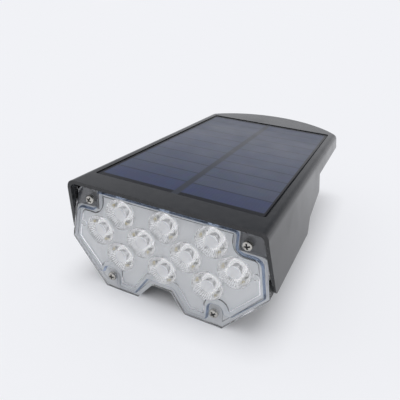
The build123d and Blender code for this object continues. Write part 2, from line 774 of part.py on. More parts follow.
def saddles():
    """The two ribs that the battery lies in, and the posts for its strap."""
    blank = Pos(CELL_BACK, HOUSING_WALL / 2) * Rectangle(
        SADDLE_WIDTH, CELL_AXIS_HEIGHT - HOUSING_WALL / 2, align=(Align.CENTER, Align.MIN)
    )
    blank -= Pos(CELL_BACK, CELL_AXIS_HEIGHT) * Circle(CELL_RADIUS + RUNNING_GAP)
    ribs = both_sides(along_x(blank, SADDLE_SPACING / 2 - SADDLE_THICK / 2, SADDLE_THICK))
    foot = NOTCH_HEIGHT + HOUSING_WALL / 2
    posts = [post(0, y, STRAP_POST_RADIUS, foot, CELL_AXIS_HEIGHT) for y in strap_screw_places()]
    return ribs + posts[0] + posts[1]


def strap_screw_places():
    """Distances back of the strap's two screws."""
    reach = CELL_RADIUS + STRAP_THICK + STRAP_FOOT / 2
    return (CELL_BACK - reach, CELL_BACK + reach)


def lower_housing():
    """The black box under the hood, with its hooks, lugs, bosses and ribs."""
    body = housing_box() + corner_fronts() + ledge() + plate_hooks() + lugs() + saddles()
    for x, z in screw_places():
        front = FLANGE_BACK if z > HEIGHT / 2 else HOUSING_FRONT
        body += along_y(Pos(x, z) * Circle(BOSS_RADIUS), front, BOSS_LENGTH)
    body += along_y(foot_bosses() & lens_outline(), HOUSING_FRONT, BOSS_LENGTH)
    for x, z in screw_places():
        body -= along_y(Pos(x, z) * Circle(HOLE_RADIUS), FLANGE_BACK - 1, BOSS_LENGTH)
    for x, y in mirrored_pairs(COVER_SCREW_FRONT):
        bottom = ramp_level(y) - COVER_POST_BELOW
        body += post(x, y, COVER_POST_RADIUS, bottom, cover_post_top(y))
        body -= post(x, y, CLEAR_HOLE, bottom - 1, cover_post_top(y) + 1)
        body -= post(x, y, SCREW_HEAD_RADIUS + SEAT_GAP, bottom - 1, bottom + SCREW_HEAD_HEIGHT)
    for x, y in board_post_places():
        body += post(x, y, BOARD_POST_RADIUS, ramp_level(y) + HOUSING_WALL / 2, BOARD_UNDER)
        body -= post(x, y, HOLE_RADIUS, BOARD_UNDER - SCREW_LENGTH / 2 - 1, BOARD_UNDER + 1)
    for y in strap_screw_places():
        body -= post(0, y, HOLE_RADIUS, CELL_AXIS_HEIGHT - SCREW_LENGTH, CELL_AXIS_HEIGHT + 1)
    boss = BUTTON_RADIUS + BUTTON_SIDE_GAP + BUTTON_BOSS_WALL
    body += post(BUTTON_X, BUTTON_BACK, boss, button_boss_under(), button_boss_top())
    hole = BUTTON_RADIUS + BUTTON_SIDE_GAP
    body -= post(BUTTON_X, BUTTON_BACK, hole, button_boss_under() - 1, button_boss_top() + 1)
    return body


# The battery

def battery_cell():
    """One round rechargeable cell, lying across the lamp, with its raised pole."""
    half = CELL_BODY_LENGTH / 2
    body = along_x(Pos(CELL_BACK, CELL_AXIS_HEIGHT) * Circle(CELL_RADIUS), -half, 2 * half)
    body = chamfer(body.edges().filter_by(GeomType.CIRCLE), CELL_BEVEL)
    tip = half + CELL_POLE_HEIGHT
    pole = pin_x(CELL_POLE_RADIUS, half - CELL_BEVEL, tip, CELL_BACK, CELL_AXIS_HEIGHT)
    return body + pole


def battery_tabs():
    """The two thin metal tabs welded to the cell's ends."""
    tab = Pos(CELL_BACK, CELL_AXIS_HEIGHT) * Rectangle(TAB_WIDTH, TAB_HEIGHT)
    half = CELL_BODY_LENGTH / 2
    tip = half + CELL_POLE_HEIGHT
    return [along_x(tab, tip, TAB_THICK), along_x(tab, -half - TAB_THICK, TAB_THICK)]


def battery_strap():
    """The strap screwed down over the cell."""
    inner = CELL_RADIUS + RUNNING_GAP
    outer = inner + STRAP_THICK
    ring = Circle(outer) - Circle(inner)
    ring &= Pos(0, outer) * Rectangle(4 * outer, 2 * outer)
    reach = 2 * (CELL_RADIUS + STRAP_THICK + STRAP_FOOT)
    feet = Rectangle(reach, STRAP_THICK, align=(Align.CENTER, Align.MIN))
    face = ring + (feet - Circle(inner))
    strap = along_x(Pos(CELL_BACK, CELL_AXIS_HEIGHT) * face, -STRAP_WIDTH / 2, STRAP_WIDTH)
    for y in strap_screw_places():
        strap -= post(0, y, CLEAR_HOLE, CELL_AXIS_HEIGHT - 1, CELL_AXIS_HEIGHT + STRAP_THICK + 1)
    return strap


def strap_screws():
    """The strap's two screws."""
    screw = pan_screw(SCREW_LENGTH)
    top = CELL_AXIS_HEIGHT + STRAP_THICK
    return [Pos(0, y, top) * screw for y in strap_screw_places()]


def cover_screws():
    """Four screws from below, through the housing into the hood."""
    screw = Rot(180, 0, 0) * pan_screw(SCREW_LENGTH)
    places = []
    for x, y in mirrored_pairs(COVER_SCREW_FRONT):
        seat = ramp_level(y) - COVER_POST_BELOW + SCREW_HEAD_HEIGHT
        places.append(Pos(x, y, seat) * screw)
    short = Rot(180, 0, 0) * pan_screw(level(HOOD_WALL) - PLATE_UNDER - RUNNING_GAP)
    for x, y in mirrored_pairs(COVER_SCREW_BACK):
        places.append(Pos(x, y, PLATE_UNDER) * short)
    return places


# The control board and its button

def board_post_places():
    """Centres of the board's four posts, as X and Y."""
    reach_y = (-BOARD_POST_Y, BOARD_POST_Y)
    return [(x, BOARD_BACK + y) for x in (-BOARD_POST_X, BOARD_POST_X) for y in reach_y]


def control_board():
    """The charging and driver board on its four posts."""
    plate = Pos(0, BOARD_BACK) * Rectangle(BOARD_WIDTH, BOARD_LENGTH)
    board = upright(plate, BOARD_UNDER, BOARD_UNDER + BOARD_THICK)
    for x, y in board_post_places():
        board -= post(x, y, CLEAR_HOLE, BOARD_UNDER - 1, BOARD_UNDER + BOARD_THICK + 1)
    return board


def board_screws():
    """The four short screws of the control board."""
    screw = pan_screw(SCREW_LENGTH / 2)
    top = BOARD_UNDER + BOARD_THICK
    return [Pos(x, y, top) * screw for x, y in board_post_places()]


def board_parts():
    """The larger components on top of the board: a chip, a coil, a socket and a capacitor."""
    top = BOARD_UNDER + BOARD_THICK
    up = (Align.CENTER, Align.CENTER, Align.MIN)
    tall = BOARD_PART_HEIGHT
    board = Pos(0, BOARD_BACK, top)
    chip = board * Pos(*CHIP_PLACE) * Box(*CHIP_SIZE, tall / 2, align=up)
    coil = board * Pos(*COIL_PLACE) * Cylinder(COIL_RADIUS, tall, align=up)
    socket = board * Pos(*PLUG_SOCKET_PLACE) * Box(*PLUG_SOCKET_SIZE, tall, align=up)
    capacitor = board * Pos(*CAPACITOR_PLACE) * Cylinder(CAPACITOR_RADIUS, tall, align=up)
    return [chip, coil, socket, capacitor]


def button_boss_under():
    """The lowest face of the round boss that the button sits in."""
    return ramp_level(BUTTON_BACK) - BUTTON_BOSS_BELOW


def button_boss_top():
    """The inner face of that boss, level with the sloped floor at its highest edge."""
    return floor_level(BUTTON_BACK + BUTTON_RADIUS + BUTTON_FLANGE)


def mode_switch():
    """The body of the small push switch, with the hole its plunger slides in."""
    centre = Pos(BUTTON_X, BUTTON_BACK)
    body = upright(centre * Rectangle(SWITCH_SIZE, SWITCH_SIZE), SWITCH_UNDER, BOARD_UNDER)
    top = SWITCH_UNDER + PLUNGER_SHOWN + BUTTON_TRAVEL
    radius = PLUNGER_RADIUS + RUNNING_GAP
    return body - post(BUTTON_X, BUTTON_BACK, radius, SWITCH_UNDER - 1, top)


def switch_plunger():
    """The plunger that the button pushes up."""
    bottom = SWITCH_UNDER - PLUNGER_SHOWN
    top = SWITCH_UNDER + PLUNGER_SHOWN - SEAT_GAP
    return post(BUTTON_X, BUTTON_BACK, PLUNGER_RADIUS, bottom, top)


def mode_button():
    """The round rubber button under the lamp."""
    seat = button_boss_top() + SEAL_THICK
    bottom = button_boss_under() - BUTTON_SHOWN
    stem = post(BUTTON_X, BUTTON_BACK, BUTTON_RADIUS, bottom, seat)
    stem = chamfer(stem.edges().sort_by(Axis.Z)[0], BUTTON_CHAMFER)
    radius = BUTTON_RADIUS + BUTTON_FLANGE
    flange = post(BUTTON_X, BUTTON_BACK, radius, seat, seat + BUTTON_FLANGE_THICK)
    nub = post(BUTTON_X, BUTTON_BACK, PLUNGER_RADIUS, seat, SWITCH_UNDER - PLUNGER_SHOWN)
    return stem + flange + nub


def button_seal():
    """The thin silicone washer between the button's flange and its boss."""
    centre = Pos(BUTTON_X, BUTTON_BACK)
    ring = Circle(BUTTON_RADIUS + BUTTON_FLANGE) - Circle(BUTTON_RADIUS + BUTTON_SIDE_GAP)
    return upright(centre * ring, button_boss_top(), button_boss_top() + SEAL_THICK)


# The folding arm

def arm_section(shrink=0.0):
    """The arm's section, a trapezium that matches the groove it folds into."""
    points = [
        (ARM_TOP_HALF - shrink, ARM_TOP - shrink),
        (ARM_BOTTOM_HALF - shrink, ARM_BOTTOM - shrink),
    ]
    return symmetric(points, [max(ARM_EDGE_ROUND - shrink, 0)] * 2)


def mount_arm():
    """The arm: a barrel on the pivot, a ribbed bar and a socket for the stake."""
    half = BARREL_WIDTH / 2
    barrel = pin_x(BARREL_RADIUS, -half, half)
    neck = Pos((PIVOT_BACK + ARM_NECK_END) / 2, (ARM_BOTTOM + ARM_TOP) / 2) * Rectangle(
        PIVOT_BACK - ARM_NECK_END + 2, ARM_TOP - ARM_BOTTOM
    )
    arm = barrel + along_x(neck, -half, BARREL_WIDTH)
    arm += along_y(arm_section(), ARM_SOCKET_START - 4, ARM_NECK_END - ARM_SOCKET_START + 4)
    tube = Pos(0, SOCKET_AXIS_HEIGHT) * Circle(SOCKET_OUTER_RADIUS)
    arm += along_y(tube, ARM_TIP, ARM_SOCKET_START - ARM_TIP + 4)
    bore = Pos(0, SOCKET_AXIS_HEIGHT) * Circle(SOCKET_RADIUS)
    arm -= along_y(bore, ARM_TIP - 1, SOCKET_DEPTH + 1)
    wall = ARM_POCKET_WALL
    start = ARM_SOCKET_START + wall
    length = (ARM_NECK_END - start - 2 * wall) / 2
    pocket_half = ARM_BOTTOM_HALF - 2 * wall
    pocket = Rectangle(pocket_half - wall / 2, ARM_POCKET_DEPTH + 1, align=(Align.MIN, Align.MIN))
    for begin in (start, start + length + wall):
        side = along_y(Pos(wall / 2, ARM_BOTTOM - 1) * pocket, begin, length)
        arm -= both_sides(side) & along_y(Pos(0, -wall / 2) * arm_section(wall / 2), 0, LENGTH)
    arm -= pin_x(BOLT_RADIUS + RUNNING_GAP, -half - 1, half + 1)
    return arm


def bolt_ends():
    """Where the bolt starts and where it reaches the knob's grip, as X."""
    face = LUG_INNER + LUG_THICK
    return (-face - NUT_BOSS, face + WASHER_THICK + KNOB_HUB_LENGTH)


def pivot_bolt():
    """The bolt through both lugs, the arm's barrel and the nut."""
    start, end = bolt_ends()
    return pin_x(BOLT_RADIUS, start, end + KNOB_LENGTH / 2)


def pivot_nut():
    """The hexagon nut in its pocket."""
    start = bolt_ends()[0]
    nut = along_x(nut_hexagon(), start, NUT_THICK)
    return nut - pin_x(BOLT_RADIUS + RUNNING_GAP, start - 1, start + NUT_THICK + 1)


def pivot_washer():
    """The washer under the knob."""
    start = LUG_INNER + LUG_THICK
    washer = pin_x(WASHER_RADIUS, start, start + WASHER_THICK)
    return washer - pin_x(BOLT_RADIUS + RUNNING_GAP, start - 1, start + WASHER_THICK + 1)


def clamp_knob():
    """The lobed knob moulded on the bolt's end."""
    start = LUG_INNER + LUG_THICK + WASHER_THICK + RUNNING_GAP
    hub = pin_x(KNOB_HUB_RADIUS, start, start + KNOB_HUB_LENGTH + 1)
    grip = Circle(KNOB_RADIUS)
    for lobe in range(KNOB_LOBES):
        turn = radians(360 / KNOB_LOBES * (lobe + 0.5))
        reach = KNOB_RADIUS + KNOB_SCALLOP / 2
        grip -= Pos(reach * cos(turn), reach * sin(turn)) * Circle(KNOB_SCALLOP)
    grip_start = start + KNOB_HUB_LENGTH
    knob = hub + along_x(Pos(PIVOT_BACK, PIVOT_HEIGHT) * grip, grip_start, KNOB_LENGTH)
    outer = knob.faces().sort_by(Axis.X)[-1]
    knob = chamfer(outer.edges(), KNOB_CHAMFER)
    return knob - pin_x(BOLT_RADIUS, start - 1, bolt_ends()[1] + KNOB_LENGTH / 2)


# The wires inside

def wire(points, radius=WIRE_RADIUS):
    """A round wire along straight runs joined by arcs as large as the runs allow."""
    corners = [Vector(*p) for p in points]
    radii = []
    for before, here, after in zip(corners, corners[1:], corners[2:]):
        run_in, run_out = here - before, after - here
        turn = radians(run_in.get_angle(run_out))
        radii.append(0.45 * min(run_in.length, run_out.length) / tan(turn / 2))
    path = FilletPolyline(*corners, radius=radii)
    start = path @ 0
    section = Plane(origin=start, z_dir=path % 0) * Circle(radius)
    return sweep(section, path=path)


def wire_pair(points):
    """Two wires side by side."""
    shift = WIRE_SPACING / 2
    return [wire([(x + side * shift, y, z) for x, y, z in points]) for side in (-1, 1)]


def panel_leads():
    """From the back of the panel down to the control board."""
    bottom, top = BOARD_UNDER + BOARD_THICK, PAN_FLOOR + PANEL_TAPE
    shift = WIRE_SPACING / 2
    return [post(side * shift, BOARD_BACK, WIRE_RADIUS, bottom, top) for side in (-1, 1)]


def battery_leads():
    """From the cell's tabs to the control board."""
    half = CELL_BODY_LENGTH / 2
    board = BOARD_UNDER + BOARD_THICK + WIRE_RADIUS + RUNNING_GAP
    ends = [(half + CELL_POLE_HEIGHT + TAB_THICK, 1), (-half - TAB_THICK, -1)]
    leads = []
    for x, side in ends:
        start = x + side * WIRE_RADIUS
        entry = side * (BOARD_WIDTH / 2 - LEAD_INSET)
        points = [
            (start, CELL_BACK, CELL_AXIS_HEIGHT),
            (start, CELL_BACK + LEAD_RISE, CELL_AXIS_HEIGHT + LEAD_RISE),
            (entry, BOARD_BACK - BOARD_LENGTH / 2 - LEAD_END, board),
            (entry, BOARD_BACK - BOARD_LENGTH / 2 + LEAD_END, board),
        ]
        leads.append(wire(points))
    return leads


def led_leads():
    """From the back of the light board to the control board."""
    back = LED_BOARD_FRONT + LED_BOARD_THICK
    edge = BOARD_BACK - BOARD_LENGTH / 2
    board = BOARD_UNDER + BOARD_THICK + WIRE_RADIUS + RUNNING_GAP
    points = [
        (0, back, level(LEAD_DROP)),
        (0, back + LEAD_INSET, level(LEAD_DROP)),
        (0, edge - LEAD_END, board),
        (0, edge + LEAD_END, board),
    ]
    return wire_pair(points)


# Every piece, by its name

PIECES = {
    "top_cover": top_cover,
    "panel_sheet": panel_sheet,
    "panel_cells": panel_cells,
    "panel_board": panel_board,
    "panel_tape": panel_tape,
    "panel_leads": panel_leads,
    "lens_cover": lens_cover,
    "lens_gasket": lens_gasket,
    "lens_screws": lens_screws,
    "reflector": reflector,
    "led_board": led_board,
    "leds": leds,
    "led_leads": led_leads,
    "lower_housing": lower_housing,
    "back_plate": back_plate,
    "cover_screws": cover_screws,
    "battery_cell": battery_cell,
    "battery_tabs": battery_tabs,
    "battery_strap": battery_strap,
    "strap_screws": strap_screws,
    "battery_leads": battery_leads,
    "control_board": control_board,
    "board_parts": board_parts,
    "board_screws": board_screws,
    "mode_switch": mode_switch,
    "switch_plunger": switch_plunger,
    "mode_button": mode_button,
    "button_seal": button_seal,
    "mount_arm": mount_arm,
    "pivot_bolt": pivot_bolt,
    "pivot_nut": pivot_nut,
    "pivot_washer": pivot_washer,
    "clamp_knob": clamp_knob,
}


def main():
    """Makes every piece, centres it on the lamp's length and writes it out."""
    os.makedirs("parts", exist_ok=True)
    centre = Pos(0, -LENGTH / 2, 0)
    for name, make in PIECES.items():
        made = make()
        solids = made if isinstance(made, list) else [made]
        placed = [solid for piece in solids for solid in (centre * piece).solids()]
        shape = placed[0] if len(placed) == 1 else Compound(children=placed)
        export_step(shape, f"parts/{name}.step")
        print(name, len(placed), round(sum(solid.volume for solid in placed), 1))


main()
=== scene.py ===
# %% [markdown]
# # A solar garden spotlight
# This lesson dresses a small solar lamp in its real finishes. The lamp has a glossy black
# hood with a solar panel let into its roof, a clear moulded face with ten optics, and a
# black box under the hood. The engineering model comes in as a fixed frame, and every new
# surface is worked out in the same place: X across the lamp, Y from the face to the round
# back, Z up from the table. Sizes are in millimetres until a mesh is made.

# %% Load the frame
import bmesh
import bpy
import numpy as np
from mathutils import Euler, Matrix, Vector
from mathutils.geometry import delaunay_2d_cdt


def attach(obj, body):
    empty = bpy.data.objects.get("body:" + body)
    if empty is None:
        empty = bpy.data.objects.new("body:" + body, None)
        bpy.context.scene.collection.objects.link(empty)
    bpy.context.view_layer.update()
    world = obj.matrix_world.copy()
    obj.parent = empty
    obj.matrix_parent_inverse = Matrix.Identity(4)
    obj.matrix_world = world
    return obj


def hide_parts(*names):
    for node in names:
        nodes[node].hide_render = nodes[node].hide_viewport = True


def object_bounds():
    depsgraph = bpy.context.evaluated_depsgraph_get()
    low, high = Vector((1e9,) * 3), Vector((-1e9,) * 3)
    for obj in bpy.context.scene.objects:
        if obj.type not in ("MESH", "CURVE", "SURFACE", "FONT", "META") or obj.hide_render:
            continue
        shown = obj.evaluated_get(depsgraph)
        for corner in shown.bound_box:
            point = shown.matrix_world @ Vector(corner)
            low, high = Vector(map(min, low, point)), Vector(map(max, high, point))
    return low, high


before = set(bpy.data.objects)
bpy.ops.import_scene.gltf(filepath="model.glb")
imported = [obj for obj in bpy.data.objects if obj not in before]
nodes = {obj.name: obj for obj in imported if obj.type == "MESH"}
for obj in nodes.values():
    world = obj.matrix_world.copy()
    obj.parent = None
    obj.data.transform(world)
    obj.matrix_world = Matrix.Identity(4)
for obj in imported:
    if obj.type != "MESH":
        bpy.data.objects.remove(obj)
cad_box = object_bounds()
MM = 0.001
LIP = cad_box[0][1] / MM
scene = bpy.context.scene
print("nodes", len(nodes), "box in mm",
      [round((high - low) / MM, 1) for low, high in zip(*cad_box)])

# %% [markdown]
# ## Camera
# The lamp was photographed from the front, a little above it and to its right, close enough
# that the face looks much wider than the back. The camera is placed in millimetres from the
# middle of the lamp's underside and turned by three angles, found by matching straight edges.

# %% Camera
CAMERA_PLACE = (79.43, -233.49, 135.08)
CAMERA_TURN = (64.687, -3.660, 25.598)
CAMERA_LENS, SENSOR_WIDTH = 36.78, 36.0
NEAREST, FARTHEST = 0.01, 200.0

camera = bpy.data.objects.new("camera", bpy.data.cameras.new("camera"))
scene.collection.objects.link(camera)
camera.location = Vector(CAMERA_PLACE) * MM
camera.rotation_euler = Euler(np.radians(CAMERA_TURN), "XYZ")
camera.data.lens = CAMERA_LENS
camera.data.sensor_width = SENSOR_WIDTH
camera.data.clip_start = NEAREST
camera.data.clip_end = FARTHEST
camera.data.dof.use_dof = False
scene.camera = camera
scene.view_settings.view_transform = "Standard"
print("camera", round(camera.location.length, 3), "m from the middle of the underside")

# %% [markdown]
# ## Shader helpers
# Every finish below is a Principled shader with a few nodes in front of it. One helper
# starts a material with its constants set on the shader itself, one adds a node with its
# inputs filled in, and one puts a finish on pieces that came in with the frame. The rest
# give names to small steps of arithmetic that many finishes share.


# %% Shader helpers
BLACK = (0, 0, 0, 1)


def new_material(name, **constants):
    """A material and its Principled shader, with the named sockets set."""
    material = bpy.data.materials.new(name)
    material.use_nodes = True
    shader = material.node_tree.nodes["Principled BSDF"]
    for socket, value in constants.items():
        shader.inputs[socket.replace("_", " ")].default_value = value
    return material, shader


def add(tree, kind, inputs=None, **settings):
    """A node of that kind, with its inputs given as values or as other nodes' sockets."""
    node = tree.nodes.new(kind)
    for name, value in settings.items():
        setattr(node, name, value)
    for name, value in (inputs or {}).items():
        if isinstance(value, bpy.types.NodeSocket):
            tree.links.new(value, node.inputs[name])
        else:
            node.inputs[name].default_value = value
    return node


def object_place(tree):
    """Places on the piece in metres, which every pattern here reads."""
    return add(tree, "ShaderNodeTexCoord").outputs["Object"]


def calculate(tree, operation, first, second=0.0):
    """One arithmetic step between two sockets or values."""
    return add(tree, "ShaderNodeMath", {0: first, 1: second}, operation=operation).outputs[0]


def mix_colours(tree, factor, first, second):
    """The first colour where the factor is 0 and the second where it is 1."""
    node = add(tree, "ShaderNodeMix", {0: factor, 6: first, 7: second}, data_type="RGBA")
    return node.outputs[2]


def spread(tree, value, start, end, low, high):
    """Carries a value's range from start to end over to the range from low to high."""
    inputs = {"Value": value, "From Min": start, "From Max": end, "To Min": low, "To Max": high}
    return add(tree, "ShaderNodeMapRange", inputs).outputs[0]


def depth_behind_lip(tree):
    """Distance behind the front lip in millimetres."""
    back = add(tree, "ShaderNodeSeparateXYZ", {0: object_place(tree)}).outputs["Y"]
    return calculate(tree, "SUBTRACT", calculate(tree, "DIVIDE", back, MM), LIP)


def between(tree, value, low, high):
    """1 where a value lies between two others."""
    above = calculate(tree, "GREATER_THAN", value, low)
    return calculate(tree, "MULTIPLY", above, calculate(tree, "LESS_THAN", value, high))


def paint(node_names, material):
    """Puts a finish on pieces of the frame."""
    for name in node_names:
        slots = nodes[name].data.materials
        slots.clear()
        slots.append(material)


print("shader helpers ready")

# %% [markdown]
# ## Background and light
# The lamp stands on white paper in very soft daylight. The world lights it evenly from all
# sides, and a sun behind a wide cloud adds a soft shadow to its right. Rays that only look
# at the background see the white paper. Higher up, gloss sees the greyer room that shows in
# the hood, and clear plastic sees the bright ceiling that sparkles in the optics.

# %% Background and light
PAPER = (0.88, 0.888, 0.922, 1)
ROOM = (0.27, 0.28, 0.31, 1)
ROOM_START, ROOM_FULL = 0.17, 0.5
CEILING = (1.0, 1.0, 1.0, 1)
CEILING_START, CEILING_FULL = 0.0, 0.2
WORLD_LIGHT = 0.88
WORLD_TONE = (WORLD_LIGHT, WORLD_LIGHT, WORLD_LIGHT, 1)
SUN_STRENGTH = 0.45
SUN_TURN = (12.0, -38.0, 0.0)
SUN_WIDTH = 60.0

world = bpy.data.worlds.new("daylight")
world.use_nodes = True
scene.world = world
tree = world.node_tree
path = add(tree, "ShaderNodeLightPath").outputs
direction = add(tree, "ShaderNodeTexCoord").outputs["Generated"]
height = add(tree, "ShaderNodeSeparateXYZ", {0: direction}).outputs["Z"]
high_up = spread(tree, height, ROOM_START, ROOM_FULL, 0, 1)
room = mix_colours(tree, high_up, PAPER, ROOM)
overhead = spread(tree, height, CEILING_START, CEILING_FULL, 0, 1)
ceiling = mix_colours(tree, overhead, PAPER, CEILING)
seen = mix_colours(tree, path["Is Camera Ray"], WORLD_TONE, PAPER)
seen = mix_colours(tree, path["Is Glossy Ray"], seen, room)
seen = mix_colours(tree, path["Is Transmission Ray"], seen, ceiling)
tree.links.new(seen, tree.nodes["Background"].inputs["Color"])

sun = bpy.data.objects.new("clouded_sun", bpy.data.lights.new("clouded_sun", "SUN"))
sun.data.energy = SUN_STRENGTH
sun.data.angle = np.radians(SUN_WIDTH)
sun.rotation_euler = Euler(np.radians(SUN_TURN), "XYZ")
scene.collection.objects.link(sun)
print("world light", WORLD_LIGHT, "sun", SUN_STRENGTH)

# %% [markdown]
# ## Paper floor
# A photographer's white paper is lit until it nearly vanishes. Here the floor lights the
# lamp as plain paper does. For the camera alone, away from the lamp, a part of its
# brightness is its own, so that it stays pale with a soft shadow. Under the lamp it has no
# brightness of its own, so the shadow there is deep. Its colour makes up for the rest, so
# that the far floor meets the background without a line. It lies a hair below the lamp and
# is clear from behind, so that a camera under the floor still sees the lamp's underside.

# %% Paper floor
FLOOR_SIZE = 150.0
FLOOR_GLOW = 0.78
GLOW_START, GLOW_FULL = 0.0, 0.02
FLOOR_DROP = 0.0001
SHADE_HALF_WIDTH, SHADE_SHORT_OF_BACK = 0.045, 0.008
sun_slant = np.cos(np.radians(SUN_TURN[1])) * np.cos(np.radians(SUN_TURN[0]))
sun_share = SUN_STRENGTH * sun_slant / np.pi
floor_full = [tone / (WORLD_LIGHT + sun_share) for tone in PAPER[:3]]

floor_corners = np.array([(-1, -1, 0), (1, -1, 0), (1, 1, 0), (-1, 1, 0)]) * FLOOR_SIZE / 2
floor_corners[:, 2] = -FLOOR_DROP
floor_mesh = bpy.data.meshes.new("paper_floor")
floor_mesh.from_pydata(floor_corners.tolist(), [], [(0, 1, 2, 3)])
floor = bpy.data.objects.new("paper_floor", floor_mesh)
scene.collection.objects.link(floor)
floor_material, floor_shader = new_material("paper", Roughness=0.9, Emission_Color=PAPER)
floor_shader.inputs["Specular IOR Level"].default_value = 0.0
tree = floor_material.node_tree
place = add(tree, "ShaderNodeSeparateXYZ", {0: object_place(tree)}).outputs
past = [calculate(tree, "MAXIMUM", calculate(tree, "SUBTRACT",
                                             calculate(tree, "ABSOLUTE", place[axis]), half))
        for axis, half in (("X", SHADE_HALF_WIDTH), ("Y", cad_box[1][1] - SHADE_SHORT_OF_BACK))]
squares = [calculate(tree, "MULTIPLY", side, side) for side in past]
outside = calculate(tree, "SQRT", calculate(tree, "ADD", *squares))
for_camera = add(tree, "ShaderNodeLightPath").outputs["Is Camera Ray"]
glow = calculate(tree, "MULTIPLY", for_camera,
                 spread(tree, outside, GLOW_START, GLOW_FULL, 0, FLOOR_GLOW))
own_colour = mix_colours(tree, glow, (*floor_full, 1), BLACK)
tree.links.new(own_colour, floor_shader.inputs["Base Color"])
tree.links.new(glow, floor_shader.inputs["Emission Strength"])
one_way = add(tree, "ShaderNodeMixShader", {
    0: add(tree, "ShaderNodeNewGeometry").outputs["Backfacing"],
    1: floor_shader.outputs["BSDF"],
    2: add(tree, "ShaderNodeBsdfTransparent").outputs["BSDF"]})
tree.links.new(one_way.outputs[0], tree.nodes["Material Output"].inputs["Surface"])
floor_mesh.materials.append(floor_material)
print("floor", FLOOR_SIZE, "m, colour", [round(tone, 3) for tone in floor_full])

# %% [markdown]
# ## Moulded plastic
# Most of the lamp is black plastic. Even a glossy moulding isn't a perfect mirror: it has
# a faint grain from the mould, smudges from hands and pale dust. One node group makes all
# three, and each finish places it with its own values.


# %% An empty node group
def new_group(name, inputs, outputs):
    """An empty shader node group with named inputs and outputs."""
    group = bpy.data.node_groups.new(name, "ShaderNodeTree")
    for label, default in inputs.items():
        kind = "NodeSocketFloat" if isinstance(default, float) else "NodeSocketColor"
        socket = group.interface.new_socket(label, in_out="INPUT", socket_type=kind)
        socket.default_value = default
    for label, kind in outputs.items():
        group.interface.new_socket(label, in_out="OUTPUT", socket_type=kind)
    entry = group.nodes.new("NodeGroupInput").outputs
    leave = group.nodes.new("NodeGroupOutput").inputs
    return group, entry, leave


# %% Node group for moulded plastic
SMUDGE_SCALE, SPECK_SCALE = 45.0, 260.0


def make_moulding_group():
    """Grain is a fine noise as a bump. Smudges and dust follow two broader noises."""
    inputs = {"Colour": (0.02, 0.02, 0.02, 1), "Dust": (0.3, 0.3, 0.3, 1), "Dusty": 0.05,
              "Grain Scale": 2500.0, "Grain Height": 0.00002, "Smooth": 0.2, "Smudged": 0.3}
    outputs = {"Colour": "NodeSocketColor", "Roughness": "NodeSocketFloat",
               "Normal": "NodeSocketVector"}
    group, entry, leave = new_group("moulding", inputs, outputs)
    place = object_place(group)
    grain = add(group, "ShaderNodeTexNoise",
                {"Vector": place, "Scale": entry["Grain Scale"], "Detail": 3.0}).outputs[0]
    bump = add(group, "ShaderNodeBump", {"Height": grain, "Distance": entry["Grain Height"]})
    broad = add(group, "ShaderNodeTexNoise",
                {"Vector": place, "Scale": SMUDGE_SCALE, "Detail": 4.0}).outputs[0]
    specks = add(group, "ShaderNodeTexNoise",
                 {"Vector": place, "Scale": SPECK_SCALE, "Detail": 6.0,
                  "Roughness": 0.7}).outputs[0]
    dusty = calculate(group, "MULTIPLY", spread(group, specks, 0.4, 0.75, 0, 1), entry["Dusty"])
    group.links.new(mix_colours(group, dusty, entry["Colour"], entry["Dust"]), leave["Colour"])
    rough = spread(group, broad, 0.35, 0.7, entry["Smooth"], entry["Smudged"])
    group.links.new(rough, leave["Roughness"])
    group.links.new(bump.outputs[0], leave["Normal"])
    return group


moulding = make_moulding_group()
print("node group", moulding.name, "with", len(moulding.nodes), "nodes")


# %% A plastic of one colour
def plastic(name, colour, values):
    """A moulded plastic of one colour, with its own grain, smudges and dust."""
    material, shader = new_material(name)
    tree = material.node_tree
    skin = add(tree, "ShaderNodeGroup", node_tree=moulding)
    skin.inputs["Colour"].default_value = (*colour, 1)
    for label, value in values.items():
        skin.inputs[label].default_value = value
    for output, socket in (("Colour", "Base Color"), ("Roughness",) * 2, ("Normal",) * 2):
        tree.links.new(skin.outputs[output], shader.inputs[socket])
    return material


# %% Plastics of the lamp
BOX_COLOUR = (0.017, 0.018, 0.02)
BOX_SKIN = {"Smooth": 0.38, "Smudged": 0.5, "Grain Scale": 1200.0, "Grain Height": 0.00003}

hood_black = plastic("hood_black", (0.013, 0.014, 0.016),
                     {"Smooth": 0.15, "Smudged": 0.26, "Grain Scale": 1800.0,
                      "Grain Height": 0.00001})
box_black = plastic("box_black", BOX_COLOUR, BOX_SKIN)
box_face = plastic("box_face", BOX_COLOUR, BOX_SKIN)
pale_plate = plastic("pale_plate", (0.86, 0.87, 0.88),
                     {"Smooth": 0.25, "Smudged": 0.35, "Grain Scale": 600.0, "Dusty": 0.0,
                      "Grain Height": 0.00001})
board_white = plastic("board_white", (0.93, 0.92, 0.9),
                      {"Smooth": 0.4, "Smudged": 0.5, "Dusty": 0.0})
paint(["top_cover"], hood_black)
paint(["lower_housing"], box_face)
paint(["back_plate", "mount_arm", "clamp_knob", "battery_strap"], box_black)
paint(["reflector"], pale_plate)
paint(["led_board"], board_white)
print("plastics", hood_black.name, box_black.name, pale_plate.name, board_white.name)

# %% [markdown]
# ## Light behind the optics
# Real optics gather daylight from the whole room on the cups and the board behind them,
# which is why they look white. Shadow rays go straight through the clear face here and
# can't bring that light, so the cups and the board get a painted glow of their own. The
# cups' colour is also painted a little whiter than the rest of the plate, as painted light.


# %% Light behind the optics
CUP_START, CUP_DEEP = 8.6, 9.8
CUP_PAINTED_LIGHT = (0.93, 0.93, 0.94, 1)
PAINTED_GLOW = 0.26
PAINTED_GLOW_COLOUR = (0.93, 0.94, 0.97, 1)


